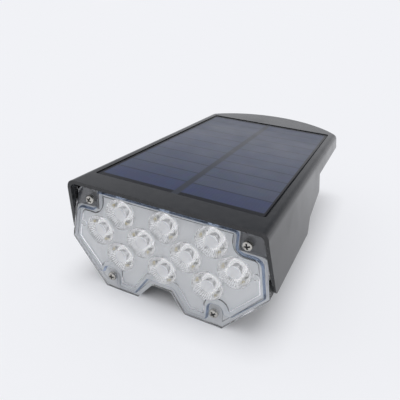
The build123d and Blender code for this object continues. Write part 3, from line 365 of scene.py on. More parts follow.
def over_base_colour(material, mask, colour):
    """Lays a colour over a material's own where the mask is 1."""
    tree = material.node_tree
    base = tree.nodes["Principled BSDF"].inputs["Base Color"]
    tree.links.new(mix_colours(tree, mask, base.links[0].from_socket, colour), base)


def painted_glow(material, mask=None):
    """A painted glow for gathered daylight, the same all over or only where the mask is 1."""
    tree = material.node_tree
    inputs = tree.nodes["Principled BSDF"].inputs
    inputs["Emission Color"].default_value = PAINTED_GLOW_COLOUR
    inputs["Emission Strength"].default_value = PAINTED_GLOW
    if mask is not None:
        glow = mix_colours(tree, mask, BLACK, PAINTED_GLOW_COLOUR)
        tree.links.new(glow, inputs["Emission Color"])


tree = pale_plate.node_tree
in_cup = spread(tree, depth_behind_lip(tree), CUP_START, CUP_DEEP, 0, 1)
# Painted light: the cups are painted whiter and glow where the optics would gather daylight.
over_base_colour(pale_plate, in_cup, CUP_PAINTED_LIGHT)
painted_glow(pale_plate, in_cup)
painted_glow(board_white)
print("cups begin", CUP_START, "mm behind the lip")

# %% [markdown]
# ## Pads seen through the corners
# Through the clear corners beside the upper screws one sees two pads at the front of the
# box. They are the same black moulding, and their grey there is painted light.

# %% Painted light on the box pads
PAD_DEPTH, PAD_LEVEL = 8.2, 42.0
PAINTED_CORNER_GREY = (0.085, 0.09, 0.1, 1)

tree = box_face.node_tree
level = add(tree, "ShaderNodeSeparateXYZ", {0: object_place(tree)}).outputs["Z"]
painted_light_on_pad = calculate(tree, "MULTIPLY", calculate(tree, "GREATER_THAN", level, PAD_LEVEL * MM),
                   calculate(tree, "LESS_THAN", depth_behind_lip(tree), PAD_DEPTH))
# Painted light: the black box turns grey on the pads behind the clear corners.
over_base_colour(box_face, painted_light_on_pad, PAINTED_CORNER_GREY)
print("pads above", PAD_LEVEL, "mm")

# %% [markdown]
# ## Surfaces on a grid
# New pieces are rows of points: each row is a ring or a loop, and neighbouring rows are
# joined by four-sided faces. Flat parts with holes in them are filled between their loops.
# A piece is a list of such patches, welded where they meet.


# %% Patches
def strip(rows):
    """Joins rows of points, each a closed loop, by faces between neighbouring rows."""
    rows = np.asarray(rows, dtype=float)
    count, around = rows.shape[:2]
    index = np.arange(count * around).reshape(count, around)
    turned = np.roll(index, -1, axis=1)
    faces = np.stack([index[:-1], turned[:-1], turned[1:], index[1:]], axis=-1)
    return rows.reshape(-1, 3), faces.reshape(-1, 4).tolist()


def cap(ring):
    """Closes a ring with a fan of triangles to its middle."""
    index = np.arange(len(ring))
    faces = np.stack([index, np.roll(index, -1), np.full(len(ring), len(ring))], axis=-1)
    return np.vstack([ring, ring.mean(axis=0)]), faces.tolist()


def at_back(loop, back):
    """A loop of X and Z stood up at a distance behind the front lip."""
    return np.column_stack([loop[:, 0], np.full(len(loop), back + LIP), loop[:, 1]])


def fill(loops, back):
    """Fills an upright flat area between loops of X and Z, at a distance from the lip."""
    points, corners = [], []
    for loop in loops:
        corners.append(list(range(len(points), len(points) + len(loop))))
        points += [Vector(point) for point in loop]
    leave_holes, smallest_gap = 2, 1e-6
    flat, _, faces, _, _, _ = delaunay_2d_cdt(points, [], corners, leave_holes, smallest_gap)
    return at_back(np.array([tuple(point) for point in flat]), back), faces


def moved(patches, shift):
    """The same patches in another place."""
    return [(points + np.asarray(shift), faces) for points, faces in patches]


print("patches: strip, cap and fill")

# %% [markdown]
# ## Pieces from patches
# Patches share their border points, so merging doubled points closes a piece. Its faces are
# then turned outwards, and each edge is kept sharp or shaded smoothly by how far the
# surface turns there. A count of open edges shows whether the piece is really closed.

# %% Pieces from patches
SHARP_ANGLE = np.radians(30)
WELD_GAP = 2e-6


def welded_mesh(name, patches):
    """Welds patches of faces into one closed mesh. Edges that turn far stay sharp."""
    start, points, faces = 0, [], []
    for patch_points, patch_faces in patches:
        points.append(patch_points)
        faces += [[start + corner for corner in face] for face in patch_faces]
        start += len(patch_points)
    mesh = bpy.data.meshes.new(name)
    mesh.from_pydata((np.vstack(points) * MM).tolist(), [], faces)
    smooth_between_sharp_edges(mesh)
    return mesh


def smooth_between_sharp_edges(mesh):
    """Merges doubled points, turns faces outwards and shades smoothly except at edges."""
    work = bmesh.new()
    work.from_mesh(mesh)
    bmesh.ops.remove_doubles(work, verts=work.verts, dist=WELD_GAP)
    bmesh.ops.recalc_face_normals(work, faces=work.faces)
    for face in work.faces:
        face.smooth = True
    for edge in work.edges:
        edge.smooth = bool(edge.is_manifold and edge.calc_face_angle() < SHARP_ANGLE)
    work.to_mesh(mesh)
    work.free()


def open_edges(mesh):
    """How many edges of a mesh don't lie between two faces."""
    edges = np.empty(len(mesh.loops), dtype=int)
    mesh.loops.foreach_get("edge_index", edges)
    return int(np.sum(np.bincount(edges, minlength=len(mesh.edges)) != 2))


# %% Pieces for the frame
def add_piece(name, mesh, material, replaced=(), slot=None):
    mesh.materials.clear()
    mesh.materials.append(material)
    piece = bpy.data.objects.new(name, mesh)
    scene.collection.objects.link(piece)
    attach(piece, "lamp")
    if replaced:
        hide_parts(*replaced)
    print(name, len(mesh.polygons), "faces,", open_edges(mesh), "open edges")


def make_piece(name, patches, material, **declared):
    """One closed piece straight from its patches."""
    add_piece(name, welded_mesh(name, patches), material, **declared)


print("edges sharper than", round(np.degrees(SHARP_ANGLE)), "degrees stay sharp")

# %% [markdown]
# ## Outline of the clear face
# The face is a six-sided plate with a notch in its foot. A raised window stands on it and
# steps round the four screws. Both outlines are given by their corners and the radius of
# each. Moving an outline inwards moves its straight edges, and the radii shrink on outer
# corners and grow on inner ones, so that every copy has the same number of points.

# %% Measures of the face
FLANGE_FRONT, FLANGE_BACK = 4.6, 7.14
PAD_FRONT, PAD_BACK = 3.4, 5.9
LENS_WALL = 2.5
FACE_CORNERS = [(47.31, 55.5), (52.83, 24.2), (32.8, 0.0), (13.2, 0.0), (5.3, 10.2)]
FACE_RADII = [8.5, 1.5, 1.5, 1.5, 1.5]
PAD_CORNERS = [(35.8, 53.5), (35.8, 43.5), (47.43, 43.5), (50.83, 25.0), (36.9, 8.8),
               (33.4, 8.8), (31.8, 13.3), (25.3, 13.3), (25.3, 2.5), (14.4, 2.5), (7.1, 13.9)]
PAD_RADII = [2.0, 3.6, 4.4, 1.6, 2.2, 1.6, 2.8, 2.8, 2.4, 1.4, 1.4]
SCREWS = [(40.2, 48.0), (-40.2, 48.0), (28.4, 7.7), (-28.4, 7.7)]
SCREW_HOLE = 1.55
SMALLEST_RADIUS = 0.15
print("window stands", round(FLANGE_FRONT - PAD_FRONT, 2), "mm proud of the flange")


# %% Outlines and rings
def outline(right_corners, right_radii, inset=0.0, steps=7):
    """A closed outline, moved inwards by the inset, from the corners of its right half.

    Each corner point moves along the sum of its two edges' inward normals. Its arc is the
    arc's centre minus the radius times a normal that swings from one edge's to the next.
    """
    right = np.array(right_corners)
    corners = np.vstack([right, right[::-1] * (-1, 1)])[::-1]
    radii = np.array([*right_radii, *right_radii[::-1]])[::-1]
    before = corners - np.roll(corners, 1, axis=0)
    before /= np.linalg.norm(before, axis=1, keepdims=True)
    after = np.roll(before, -1, axis=0)
    inward, next_inward = before[:, ::-1] * (-1, 1), after[:, ::-1] * (-1, 1)
    bend = (inward + next_inward) / (1 + np.sum(inward * next_inward, axis=1, keepdims=True))
    cross = before[:, 0] * after[:, 1] - before[:, 1] * after[:, 0]
    side = np.sign(cross)
    radii = np.maximum(radii - inset * side, SMALLEST_RADIUS)
    centres = corners + inset * bend + (radii * side)[:, None] * bend
    swing = np.arctan2(cross, np.sum(before * after, axis=1))
    start = np.arctan2(inward[:, 1], inward[:, 0])
    angle = start[:, None] + swing[:, None] * np.linspace(0, 1, steps)
    normal = np.stack([np.cos(angle), np.sin(angle)], axis=-1)
    arcs = centres[:, None] - (radii * side)[:, None, None] * normal
    return arcs.reshape(-1, 2)


def circle(place, radius, count=40):
    """A ring of X and Z round a place."""
    angle = np.linspace(0, 2 * np.pi, count, endpoint=False)
    return np.column_stack([place[0] + radius * np.cos(angle), place[1] + radius * np.sin(angle)])


face_edge = outline(FACE_CORNERS, FACE_RADII)
pad_edge = outline(PAD_CORNERS, PAD_RADII)
print("face outline", len(face_edge), "points, window", len(pad_edge), "points")

# %% [markdown]
# ## Clear plastic
# The face is one clear moulding. It bends light as acrylic does, has the faintest haze and
# ripple from the mould, and lets the daylight through to the white plate behind it: for
# shadow rays it is simply transparent. Where one looks along the window's step, the light
# has come a long way through the plastic, so the step shows as a blue-grey line. The step
# is so low that a tint on its few tenths of a millimetre stands for that depth.


# %% Clear plastic
STEP_TOP, STEP_FOOT = 3.43, 4.57
STEP_TINT = (0.17, 0.24, 0.4, 1)
CLEAR_TINT = (0.985, 0.99, 1.0, 1)
SHADOW_TINT = (0.98, 0.985, 0.99)
HAZE_SCALE, HAZE_MOST = 90.0, 0.03
RIPPLE_SCALE, RIPPLE_HEIGHT = 160.0, 0.00003


def let_shadow_rays_through(material, shader, tint):
    """Shadow rays pass the piece as if it were tinted air."""
    tree = material.node_tree
    open_way = add(tree, "ShaderNodeBsdfTransparent", {"Color": (*tint, 1)})
    path = add(tree, "ShaderNodeLightPath").outputs["Is Shadow Ray"]
    either = add(tree, "ShaderNodeMixShader", {0: path, 1: shader.outputs[0],
                                               2: open_way.outputs[0]})
    tree.links.new(either.outputs[0], tree.nodes["Material Output"].inputs["Surface"])


clear_face, clear_shader = new_material("clear_face", Transmission_Weight=1.0, IOR=1.49)
tree = clear_face.node_tree
on_step = between(tree, depth_behind_lip(tree), STEP_TOP, STEP_FOOT)
tint = mix_colours(tree, on_step, CLEAR_TINT, STEP_TINT)
tree.links.new(tint, clear_shader.inputs["Base Color"])
haze = add(tree, "ShaderNodeTexNoise", {"Vector": object_place(tree), "Scale": HAZE_SCALE,
                                        "Detail": 5.0})
rough = spread(tree, haze.outputs[0], 0.4, 0.8, 0.0, HAZE_MOST)
tree.links.new(rough, clear_shader.inputs["Roughness"])
waves = add(tree, "ShaderNodeTexNoise", {"Vector": object_place(tree), "Scale": RIPPLE_SCALE,
                                         "Detail": 2.0})
bump = add(tree, "ShaderNodeBump", {"Height": waves.outputs[0], "Distance": RIPPLE_HEIGHT})
tree.links.new(bump.outputs[0], clear_shader.inputs["Normal"])
let_shadow_rays_through(clear_face, clear_shader, SHADOW_TINT)
print("clear plastic", clear_face.name)

# %% [markdown]
# ## Optics
# Behind the window stand ten optics that throw the light forward. Each is a bowl that
# narrows towards the back, with sharp flutes down its side that turn the daylight round
# inside the plastic, and a round pocket in its end with a small dome on the bottom. One
# optic is worked out as a stack of rings, and the stack is moved to the ten places. It
# starts inside the window's wall, so that it can be joined to it. Two short pegs at the
# sides, which show through the window as round marks, are made in the same way.

# %% Measures of the optics
TOP_ROW, ROW_PITCH = 43.9, 11.7
OPTIC_ROWS = [(-23.6, 0, 23.6), (-35.4, -11.8, 11.8, 35.4), (-23.6, 0, 23.6)]
OPTIC_PLACES = [(x, TOP_ROW - ROW_PITCH * row) for row, xs in enumerate(OPTIC_ROWS) for x in xs]
OPTIC_START, OPTIC_BACK = 5.5, 13.6
OPTIC_FRONT, OPTIC_END = 8.0, 4.29
OPTIC_BULGE = 0.2
SIDE_SHARES = (0.0, 0.06, 0.12, 0.25, 0.4, 0.55, 0.75, 1.0)
FLUTES = 44
FLUTE_DEPTH = 0.16
FLUTE_FADE = 0.12
POCKET, POCKET_NARROWS = 3.3, 0.1
POCKET_FLOOR = 7.0
DOME, DOME_EDGE = 0.3, 0.3
PEG_PLACES = [(-45.3, 33.4), (45.3, 33.4)]
PEG_RADIUS, PEG_BACK, PEG_ROUND = 1.5, 6.9, 0.25
RING_POINTS = 32
print("optics", len(OPTIC_PLACES), "with", FLUTES, "flutes each")


# %% Rings of one optic
def optic_side():
    """Rings of the fluted side: the radius falls from front to end with a slight bulge, and
    every other point lies deeper by the flute's depth, which makes sharp grooves."""
    share = np.array(SIDE_SHARES)[:, None]
    angle = np.linspace(0, 2 * np.pi, FLUTES * 2, endpoint=False)[None]
    radius = OPTIC_FRONT + (OPTIC_END - OPTIC_FRONT) * share
    radius = radius + OPTIC_BULGE * np.sin(np.pi * share)
    in_groove = np.arange(FLUTES * 2)[None] % 2
    radius = radius - FLUTE_DEPTH * in_groove * np.clip(share / FLUTE_FADE, 0, 1)
    back = OPTIC_START + (OPTIC_BACK - OPTIC_START) * share + 0 * angle
    return np.stack([radius * np.cos(angle), back + LIP, radius * np.sin(angle)], -1)


def ring_stack(radii, backs, count):
    """Plain rings about Y with the given radii and distances behind the lip."""
    angle = np.linspace(0, 2 * np.pi, count, endpoint=False)[None]
    radii, backs = np.array(radii)[:, None], np.array(backs)[:, None] + LIP
    return np.stack([radii * np.cos(angle), backs + 0 * angle, radii * np.sin(angle)], -1)


def dome_profile():
    """Radii and heights of the pocket from its mouth down to the dome on its bottom."""
    swing = np.linspace(1, 0.15, 5)
    radii = [POCKET, POCKET - POCKET_NARROWS, *(POCKET - DOME_EDGE) * swing]
    backs = [OPTIC_BACK, POCKET_FLOOR, *(POCKET_FLOOR + DOME * (1 - swing**2))]
    return radii, backs


# %% Ten optics and two pegs
side_rings = optic_side()
pocket_rings = ring_stack(*dome_profile(), FLUTES * 2)
one_optic = [strip(side_rings), strip([side_rings[-1], pocket_rings[0]]), strip(pocket_rings),
             cap(side_rings[0]), cap(pocket_rings[-1])]
optic_patches = []
for x, z in OPTIC_PLACES:
    optic_patches += moved(one_optic, (x, 0, z))
peg_rings = ring_stack([PEG_RADIUS, PEG_RADIUS, PEG_RADIUS - PEG_ROUND],
                       [OPTIC_START, PEG_BACK - PEG_ROUND, PEG_BACK], RING_POINTS)
for x, z in PEG_PLACES:
    optic_patches += moved([strip(peg_rings), cap(peg_rings[0]), cap(peg_rings[-1])], (x, 0, z))
print("one optic:", sum(len(faces) for _, faces in one_optic), "faces, made",
      len(OPTIC_PLACES), "times")

# %% [markdown]
# ## The clear face
# The flange and the raised window with its hollow behind are one closed body. The optics
# are joined to it with a Boolean, because some of them run into the side of the hollow, and
# clear plastic must have no walls left inside it: each would show as a second surface.


# %% Profiles of the clear face
def edge_rows(corners, radii, profile):
    """Copies of an outline, one for each inset and distance back in the profile."""
    return np.stack([at_back(outline(corners, radii, inset), back) for inset, back in profile])


def quarter_round(radius, inset, back, count=5):
    """A profile that turns a front edge: from the side wall round to the front plane."""
    angle = np.linspace(0, np.pi / 2, count)
    insets = inset + radius * (1 - np.cos(angle))
    return list(zip(insets, back + radius * (1 - np.sin(angle))))


EDGE_ROUND, WINDOW_ROUND, FOOT_ROUND = 0.35, 0.65, 0.45
MOUTH_BEVEL, FLOOR_BEVEL = 0.3, 0.2
flange_side = [(EDGE_ROUND, FLANGE_BACK), (0.0, FLANGE_BACK - EDGE_ROUND)]
flange_side += quarter_round(EDGE_ROUND, 0.0, FLANGE_FRONT)
window_side = [(-FOOT_ROUND, FLANGE_FRONT), (-FOOT_ROUND / 3, FLANGE_FRONT - FOOT_ROUND / 3),
               (0.0, FLANGE_FRONT - FOOT_ROUND)]
window_side += quarter_round(WINDOW_ROUND, 0.0, PAD_FRONT)
hollow_side = [(LENS_WALL - MOUTH_BEVEL, FLANGE_BACK), (LENS_WALL, FLANGE_BACK - MOUTH_BEVEL),
               (LENS_WALL, PAD_BACK + FLOOR_BEVEL), (LENS_WALL + FLOOR_BEVEL, PAD_BACK)]
print("profiles", len(flange_side), len(window_side), len(hollow_side), "points")

# %% Patches of the clear face
holes = [circle(place, SCREW_HOLE) for place in SCREWS]
face_patches = [
    strip(edge_rows(FACE_CORNERS, FACE_RADII, flange_side)),
    strip(edge_rows(PAD_CORNERS, PAD_RADII, window_side)),
    strip(edge_rows(PAD_CORNERS, PAD_RADII, hollow_side)),
    fill([outline(FACE_CORNERS, FACE_RADII, EDGE_ROUND),
          outline(PAD_CORNERS, PAD_RADII, -FOOT_ROUND), *holes], FLANGE_FRONT),
    fill([outline(PAD_CORNERS, PAD_RADII, WINDOW_ROUND)], PAD_FRONT),
    fill([outline(FACE_CORNERS, FACE_RADII, EDGE_ROUND),
          outline(PAD_CORNERS, PAD_RADII, LENS_WALL - MOUTH_BEVEL), *holes], FLANGE_BACK),
    fill([outline(PAD_CORNERS, PAD_RADII, LENS_WALL + FLOOR_BEVEL)], PAD_BACK),
]
for hole in holes:
    face_patches.append(strip([at_back(hole, FLANGE_FRONT), at_back(hole, FLANGE_BACK)]))
print("face patches", len(face_patches))


# %% Join the optics to the face
def joined(name, body_mesh, added_mesh):
    """The union of two closed meshes, as a new mesh without a modifier."""
    body = bpy.data.objects.new(name + "_body", body_mesh)
    added = bpy.data.objects.new(name + "_added", added_mesh)
    for part in (body, added):
        scene.collection.objects.link(part)
    union = body.modifiers.new("union", "BOOLEAN")
    union.operation, union.solver, union.object = "UNION", "EXACT", added
    bpy.context.view_layer.update()
    result = bpy.data.meshes.new_from_object(
        body.evaluated_get(bpy.context.evaluated_depsgraph_get()))
    for part in (body, added):
        bpy.data.objects.remove(part)
    result.name = name
    smooth_between_sharp_edges(result)
    return result


face_body = welded_mesh("face_body", face_patches)
optics_body = welded_mesh("optics_body", optic_patches)
print("open edges before joining:", open_edges(face_body), open_edges(optics_body))
add_piece("clear_cover", joined("clear_cover", face_body, optics_body), clear_face,
          replaced=["lens_cover"], slot="clear_resin")

# %% [markdown]
# ## Light sources
# Behind each optic sits one small chip: a pale square body with a round window of yellow
# phosphor. The body is a superellipse, which is a square with round corners, and the window
# is a circle. Each is drawn out into a low block with softened edges.


# %% Light sources
CHIP_FRONT, CHIP_FOOT = 13.2, 14.0
CHIP_HALF_WIDTH, CHIP_HALF_HEIGHT = 1.4, 1.75
PHOSPHOR_RADIUS = 1.05
SQUARENESS = 7.0


def rounded_square(half_width, half_height, power=SQUARENESS, count=RING_POINTS):
    """A superellipse: |x/a| to a power plus |z/b| to the same power is 1."""
    angle = np.linspace(0, 2 * np.pi, count, endpoint=False)
    cosine, sine = np.cos(angle), np.sin(angle)
    reach = (np.abs(cosine) ** power + np.abs(sine) ** power) ** (-1 / power)
    return np.column_stack([half_width * reach * cosine, half_height * reach * sine])


def chip_rows(profile, shape):
    """Copies of a shape, scaled and set at the distances in the profile."""
    return np.stack([at_back(shape * scale, back) for scale, back in profile])


# %% Ten light sources
chip_shape = rounded_square(CHIP_HALF_WIDTH, CHIP_HALF_HEIGHT)
chip_profile = [(1.0, CHIP_FOOT), (1.0, CHIP_FRONT + 0.1), (0.94, CHIP_FRONT)]
dot_shape = circle((0, 0), PHOSPHOR_RADIUS, RING_POINTS)
dot_profile = [(1.0, CHIP_FRONT), (0.94, CHIP_FRONT - 0.06), (0.5, CHIP_FRONT - 0.1)]
bodies, windows = [], []
for x, z in OPTIC_PLACES:
    shift = np.array([x, 0, z])
    for patches, profile, shape in ((bodies, chip_profile, chip_shape),
                                    (windows, dot_profile, dot_shape)):
        rows = chip_rows(profile, shape) + shift
        patches += [strip(rows), cap(rows[0]), cap(rows[-1])]
chip_white = plastic("chip_white", (0.75, 0.75, 0.73),
                     {"Smooth": 0.4, "Smudged": 0.5, "Dusty": 0.0})
phosphor = plastic("phosphor", (0.78, 0.62, 0.2),
                   {"Smooth": 0.25, "Smudged": 0.4, "Dusty": 0.0})
make_piece("light_chips", bodies, chip_white, replaced=["leds"], slot="led_cream")
make_piece("phosphor_windows", windows, phosphor)

# %% [markdown]
# ## Cross-headed screws
# Four small screws hold the face. Their heads are low domes of bright nickel with a cross
# pressed into them. The head is one grid of rings: its height is a dome, less a depth where
# a point lies inside one of the cross's two arms. The shank below it carries a thread.

# %% Head of a face screw
HEAD_RADIUS, HEAD_HEIGHT = 2.3, 1.6
CROSS_REACH, CROSS_HALF, CROSS_DEPTH = 1.35, 0.3, 1.0
ARM_SOFT, REACH_SOFT = 0.06, 0.1
RIM_SHARE = 0.45
CROSS_SHALLOWS = 0.35


def ramp(value, start, end):
    """0 before the start, 1 after the end, and a smooth step between them."""
    share = np.clip((value - start) / (end - start), 0, 1)
    return share * share * (3 - 2 * share)


def screw_head(turn):
    """Rings of a head about Y, from its rim to its middle, as X, height and Z.

    The height is a low rim plus a quarter ellipse of the radius, less the cross: the
    larger of two arm masks, deepest in the middle.
    """
    share = np.array([1.0, 1.0, 0.97, 0.9, *np.linspace(0.82, 0.04, 20)])[:, None]
    angle = np.linspace(0, 2 * np.pi, 72, endpoint=False)[None]
    x, z = share * HEAD_RADIUS * np.cos(angle), share * HEAD_RADIUS * np.sin(angle)
    rise = RIM_SHARE + (1 - RIM_SHARE) * np.sqrt(1 - share**2)
    dome = HEAD_HEIGHT * rise + 0 * angle
    dome[0] = 0
    u, v = x * np.cos(turn) + z * np.sin(turn), z * np.cos(turn) - x * np.sin(turn)
    arms = [1 - np.maximum(
        ramp(np.abs(side), CROSS_HALF - ARM_SOFT, CROSS_HALF + ARM_SOFT),
        ramp(np.abs(along), CROSS_REACH - REACH_SOFT, CROSS_REACH + REACH_SOFT))
            for side, along in ((u, v), (v, u))]
    depth = CROSS_DEPTH * (1 - CROSS_SHALLOWS * np.hypot(x, z) / CROSS_REACH)
    return np.stack([x, dome - np.maximum(*arms) * np.maximum(depth, 0), z], -1)


# %% Threaded shank
SHANK_RADIUS, SHANK_LENGTH = 1.25, 9.0
THREAD_DEPTH, THREAD_TURNS = 0.22, 10
TIP_START, TIP_SHRINK = 0.85, 0.75


def screw_shank():
    """Rings of a threaded shank: a radius with a triangle wave that climbs as it turns."""
    along = np.linspace(0, 1, 60)[:, None]
    angle = np.linspace(0, 2 * np.pi, 24, endpoint=False)[None]
    phase = (along * THREAD_TURNS - angle / (2 * np.pi)) % 1
    radius = SHANK_RADIUS - THREAD_DEPTH * np.abs(2 * phase - 1)
    radius = radius * (1 - TIP_SHRINK * ramp(along, TIP_START, 1.0))
    x, z = radius * np.cos(angle), radius * np.sin(angle)
    return np.stack([x, SHANK_LENGTH * along + 0 * angle, z], -1)


# %% Four face screws
SCREW_TURNS = (0.3, 1.0, 0.65, 0.1)


def face_screw(place, turn):
    """Patches of one screw that stands in the flange."""
    head = screw_head(turn)
    head[..., 1] = FLANGE_FRONT + LIP - head[..., 1]
    shank = screw_shank() + np.array([0, FLANGE_FRONT + LIP, 0])
    shift = np.array([place[0], 0, place[1]])
    seat = fill([head[0][:, (0, 2)], shank[0][:, (0, 2)]], FLANGE_FRONT)
    patches = [strip(head), cap(head[-1]), seat, strip(shank), cap(shank[-1])]
    return moved(patches, shift)


screw_patches = []
for place, turn in zip(SCREWS, SCREW_TURNS):
    screw_patches += face_screw(place, turn)
print("screw patches", len(screw_patches))

# %% [markdown]
# ## Screw steel
# The screws are nickel-plated, and one noise stains both their colour and their gloss. The
# cross is darkened with painted shade, so the points inside it are marked with an attribute
# on the mesh, and the finish is dark where the mark is 1.

# %% Screw steel
STAIN_SCALE = 900.0
RECESS_REACH, RECESS_HEIGHT = 1.45, 1.05
# The last colour is painted shade for the bottom of the cross.
STAINED, BRIGHT, RECESS_PAINTED_SHADE = (0.4, 0.39, 0.36, 1), (0.66, 0.64, 0.6, 1), (0.05, 0.05, 0.055, 1)


def mark_recess(mesh):
    """Stores 1 on points near a screw's middle that lie below its dome, and 0 elsewhere."""
    points = np.empty(len(mesh.vertices) * 3, dtype=np.float32)
    mesh.vertices.foreach_get("co", points)
    points = points.reshape(-1, 3) / MM
    offset = points[:, None, (0, 2)] - np.array(SCREWS)[None]
    near = np.hypot(offset[..., 0], offset[..., 1]).min(axis=1) < RECESS_REACH
    height = FLANGE_FRONT + LIP - points[:, 1]
    recess = (near & (height > 0) & (height < RECESS_HEIGHT)).astype(np.float32)
    mesh.attributes.new("recess", "FLOAT", "POINT").data.foreach_set("value", recess)
    return int(recess.sum())


def nickel_finish(name, has_recess):
    """Bright nickel with faint stains, and painted shade at the bottom of the cross."""
    material, shader = new_material(name, Metallic=1.0)
    tree = material.node_tree
    stain = add(tree, "ShaderNodeTexNoise",
                {"Vector": object_place(tree), "Scale": STAIN_SCALE, "Detail": 4.0}).outputs[0]
    colour = mix_colours(tree, stain, STAINED, BRIGHT)
    if has_recess:
        recess = add(tree, "ShaderNodeAttribute", attribute_name="recess").outputs["Fac"]
        # Painted shade where the mark is 1, in the cross.
        colour = mix_colours(tree, recess, colour, RECESS_PAINTED_SHADE)
    tree.links.new(colour, shader.inputs["Base Color"])
    tree.links.new(spread(tree, stain, 0.3, 0.7, 0.16, 0.34), shader.inputs["Roughness"])
    return material


screw_mesh = welded_mesh("cross_screws", screw_patches)
print(mark_recess(screw_mesh), "points in the crosses")
add_piece("cross_screws", screw_mesh, nickel_finish("face_screw_nickel", True),
          replaced=["lens_screws"], slot="screw_steel")
paint(["cover_screws", "strap_screws", "board_screws", "pivot_bolt", "pivot_nut", "pivot_washer",
       "battery_tabs"], nickel_finish("bright_nickel", False))

# %% [markdown]
# ## Solar panel
# The panel is a black board with two columns of blue cell strips under a clear sheet. The
# strips are grained silicon, each a slightly different blue, with hair-thin silver fingers.
# The sheet lies on them without air, so the panel is seen as one surface: its own piece is a
# thin slab whose colour comes from the place on it.

# %% Panel sheet
PANEL_FRONT, PANEL_LENGTH, PANEL_WIDTH = 13.8, 149.5, 87.2
PANEL_TOP, SHEET_UNDER = 57.6, 57.15
PANEL_CORNER = 1.1
PANEL_ASKEW = 0.8


def panel_loop(inset):
    """The panel's outline with round corners, moved inwards, as X and Y. Its right edge
    leans in towards the front, as the sheet was glued in slightly askew."""
    half_width, half_length = PANEL_WIDTH / 2 - inset, PANEL_LENGTH / 2 - inset
    radius = max(PANEL_CORNER - inset, 0.1)
    angle = np.linspace(0, np.pi / 2, 6)
    quarter = np.stack([np.cos(angle), np.sin(angle)], -1) * radius
    quarter += (half_width - radius, half_length - radius)
    half = np.vstack([quarter, quarter[::-1] * (-1, 1)])
    loop = np.vstack([half, half[::-1] * (1, -1)])
    toward_front = np.clip(0.5 - loop[:, 1] / PANEL_LENGTH, 0, 1)
    loop[:, 0] -= PANEL_ASKEW * toward_front * (loop[:, 0] > 0)
    return loop + (0, PANEL_FRONT + PANEL_LENGTH / 2 + LIP)


def lay_flat(loop, level):
    """A loop of X and Y at a height."""
    return np.column_stack([loop, np.full(len(loop), level)])


sheet_rows = np.stack([lay_flat(panel_loop(inset), level) for inset, level in
                       ((0, SHEET_UNDER), (0, PANEL_TOP - 0.15), (0.05, PANEL_TOP - 0.04),
                        (0.15, PANEL_TOP))])
sheet_patches = [strip(sheet_rows)]
for rows in (sheet_rows[0], sheet_rows[-1]):
    sheet_patches.append((rows, [list(range(len(rows)))]))
print("sheet", PANEL_WIDTH, "x", PANEL_LENGTH, "mm")

# %% [markdown]
# ## Panel finish
# The cells could be modelled one by one, but they lie flat under the sheet and cast no
# shadow. Masks worked out from the place on the sheet are simpler and stay sharp from any
# distance. They tell cells from bare board, one row from the next, and silver from silicon.

# %% Measures and colours of the cells
CELL_PITCH, CELL_LENGTH, CELL_GAP, MIDDLE_GAP = 13.0, 40.2, 0.55, 3.4
CELL_ROWS = 11
FINGER_PITCH, FINGER_WIDTH, FINGER_SHOWS = 1.6, 0.1, 0.25
CRYSTAL_SCALE, CRYSTALS_SHOW = 260.0, 0.05
SHEET_HAZE_SCALE = 60.0
DEEP_BLUE, GREY_BLUE = (0.052, 0.067, 0.124, 1), (0.066, 0.08, 0.128, 1)
FRONT_BLUE = (0.045, 0.057, 0.12, 1)
SILVER = (0.16, 0.17, 0.2, 1)
BOARD_TONE, MIDDLE_TONE = (0.014, 0.015, 0.02, 1), (0.04, 0.046, 0.064, 1)
print("cells", CELL_ROWS, "rows at", CELL_PITCH, "mm")


# %% Where the cells lie
def line_mask(tree, value, pitch, width):
    """1 on lines of a width that repeat at a pitch along a value in metres."""
    phase = calculate(tree, "PINGPONG", value, pitch * MM / 2)
    return calculate(tree, "LESS_THAN", phase, width * MM / 2)


panel_finish, panel_shader = new_material("solar_panel", IOR=1.4)
tree = panel_finish.node_tree
place = add(tree, "ShaderNodeSeparateXYZ", {0: object_place(tree)}).outputs
along = calculate(tree, "SUBTRACT", place["Y"],
                  (PANEL_FRONT + PANEL_LENGTH / 2 + LIP - CELL_PITCH * CELL_ROWS / 2) * MM)
across = calculate(tree, "ABSOLUTE", place["X"])
between_rows = line_mask(tree, along, CELL_PITCH, CELL_GAP)
in_middle = calculate(tree, "LESS_THAN", across, MIDDLE_GAP / 2 * MM)
past_side = calculate(tree, "GREATER_THAN", across, (MIDDLE_GAP / 2 + CELL_LENGTH) * MM)
past_front = calculate(tree, "LESS_THAN", along, 0.0)
past_back = calculate(tree, "GREATER_THAN", along, CELL_PITCH * CELL_ROWS * MM)
bare = between_rows
for mask in (past_side, past_front, past_back, in_middle):
    bare = calculate(tree, "MAXIMUM", bare, mask)
print("cells", CELL_LENGTH, "mm long on both sides of a gap of", MIDDLE_GAP)

# %% Colours of the panel
row = calculate(tree, "FLOOR", calculate(tree, "DIVIDE", along, CELL_PITCH * MM))
column = calculate(tree, "SIGN", place["X"])
strip_number = calculate(tree, "ADD", calculate(tree, "MULTIPLY", row, 2.0), column)
chance = add(tree, "ShaderNodeTexWhiteNoise", {"W": strip_number},
             noise_dimensions="1D").outputs[0]
crystals = add(tree, "ShaderNodeTexVoronoi",
               {"Vector": object_place(tree), "Scale": CRYSTAL_SCALE}).outputs["Color"]
silicon = mix_colours(tree, chance, DEEP_BLUE, GREY_BLUE)
front_row = calculate(tree, "LESS_THAN", row, 0.5)
silicon = mix_colours(tree, front_row, silicon, FRONT_BLUE)
grained = add(tree, "ShaderNodeMix", {0: CRYSTALS_SHOW, 6: silicon, 7: crystals},
              data_type="RGBA", blend_type="OVERLAY").outputs[2]
fingers = line_mask(tree, place["X"], FINGER_PITCH, FINGER_WIDTH)
silvered = mix_colours(tree, calculate(tree, "MULTIPLY", fingers, FINGER_SHOWS), grained, SILVER)
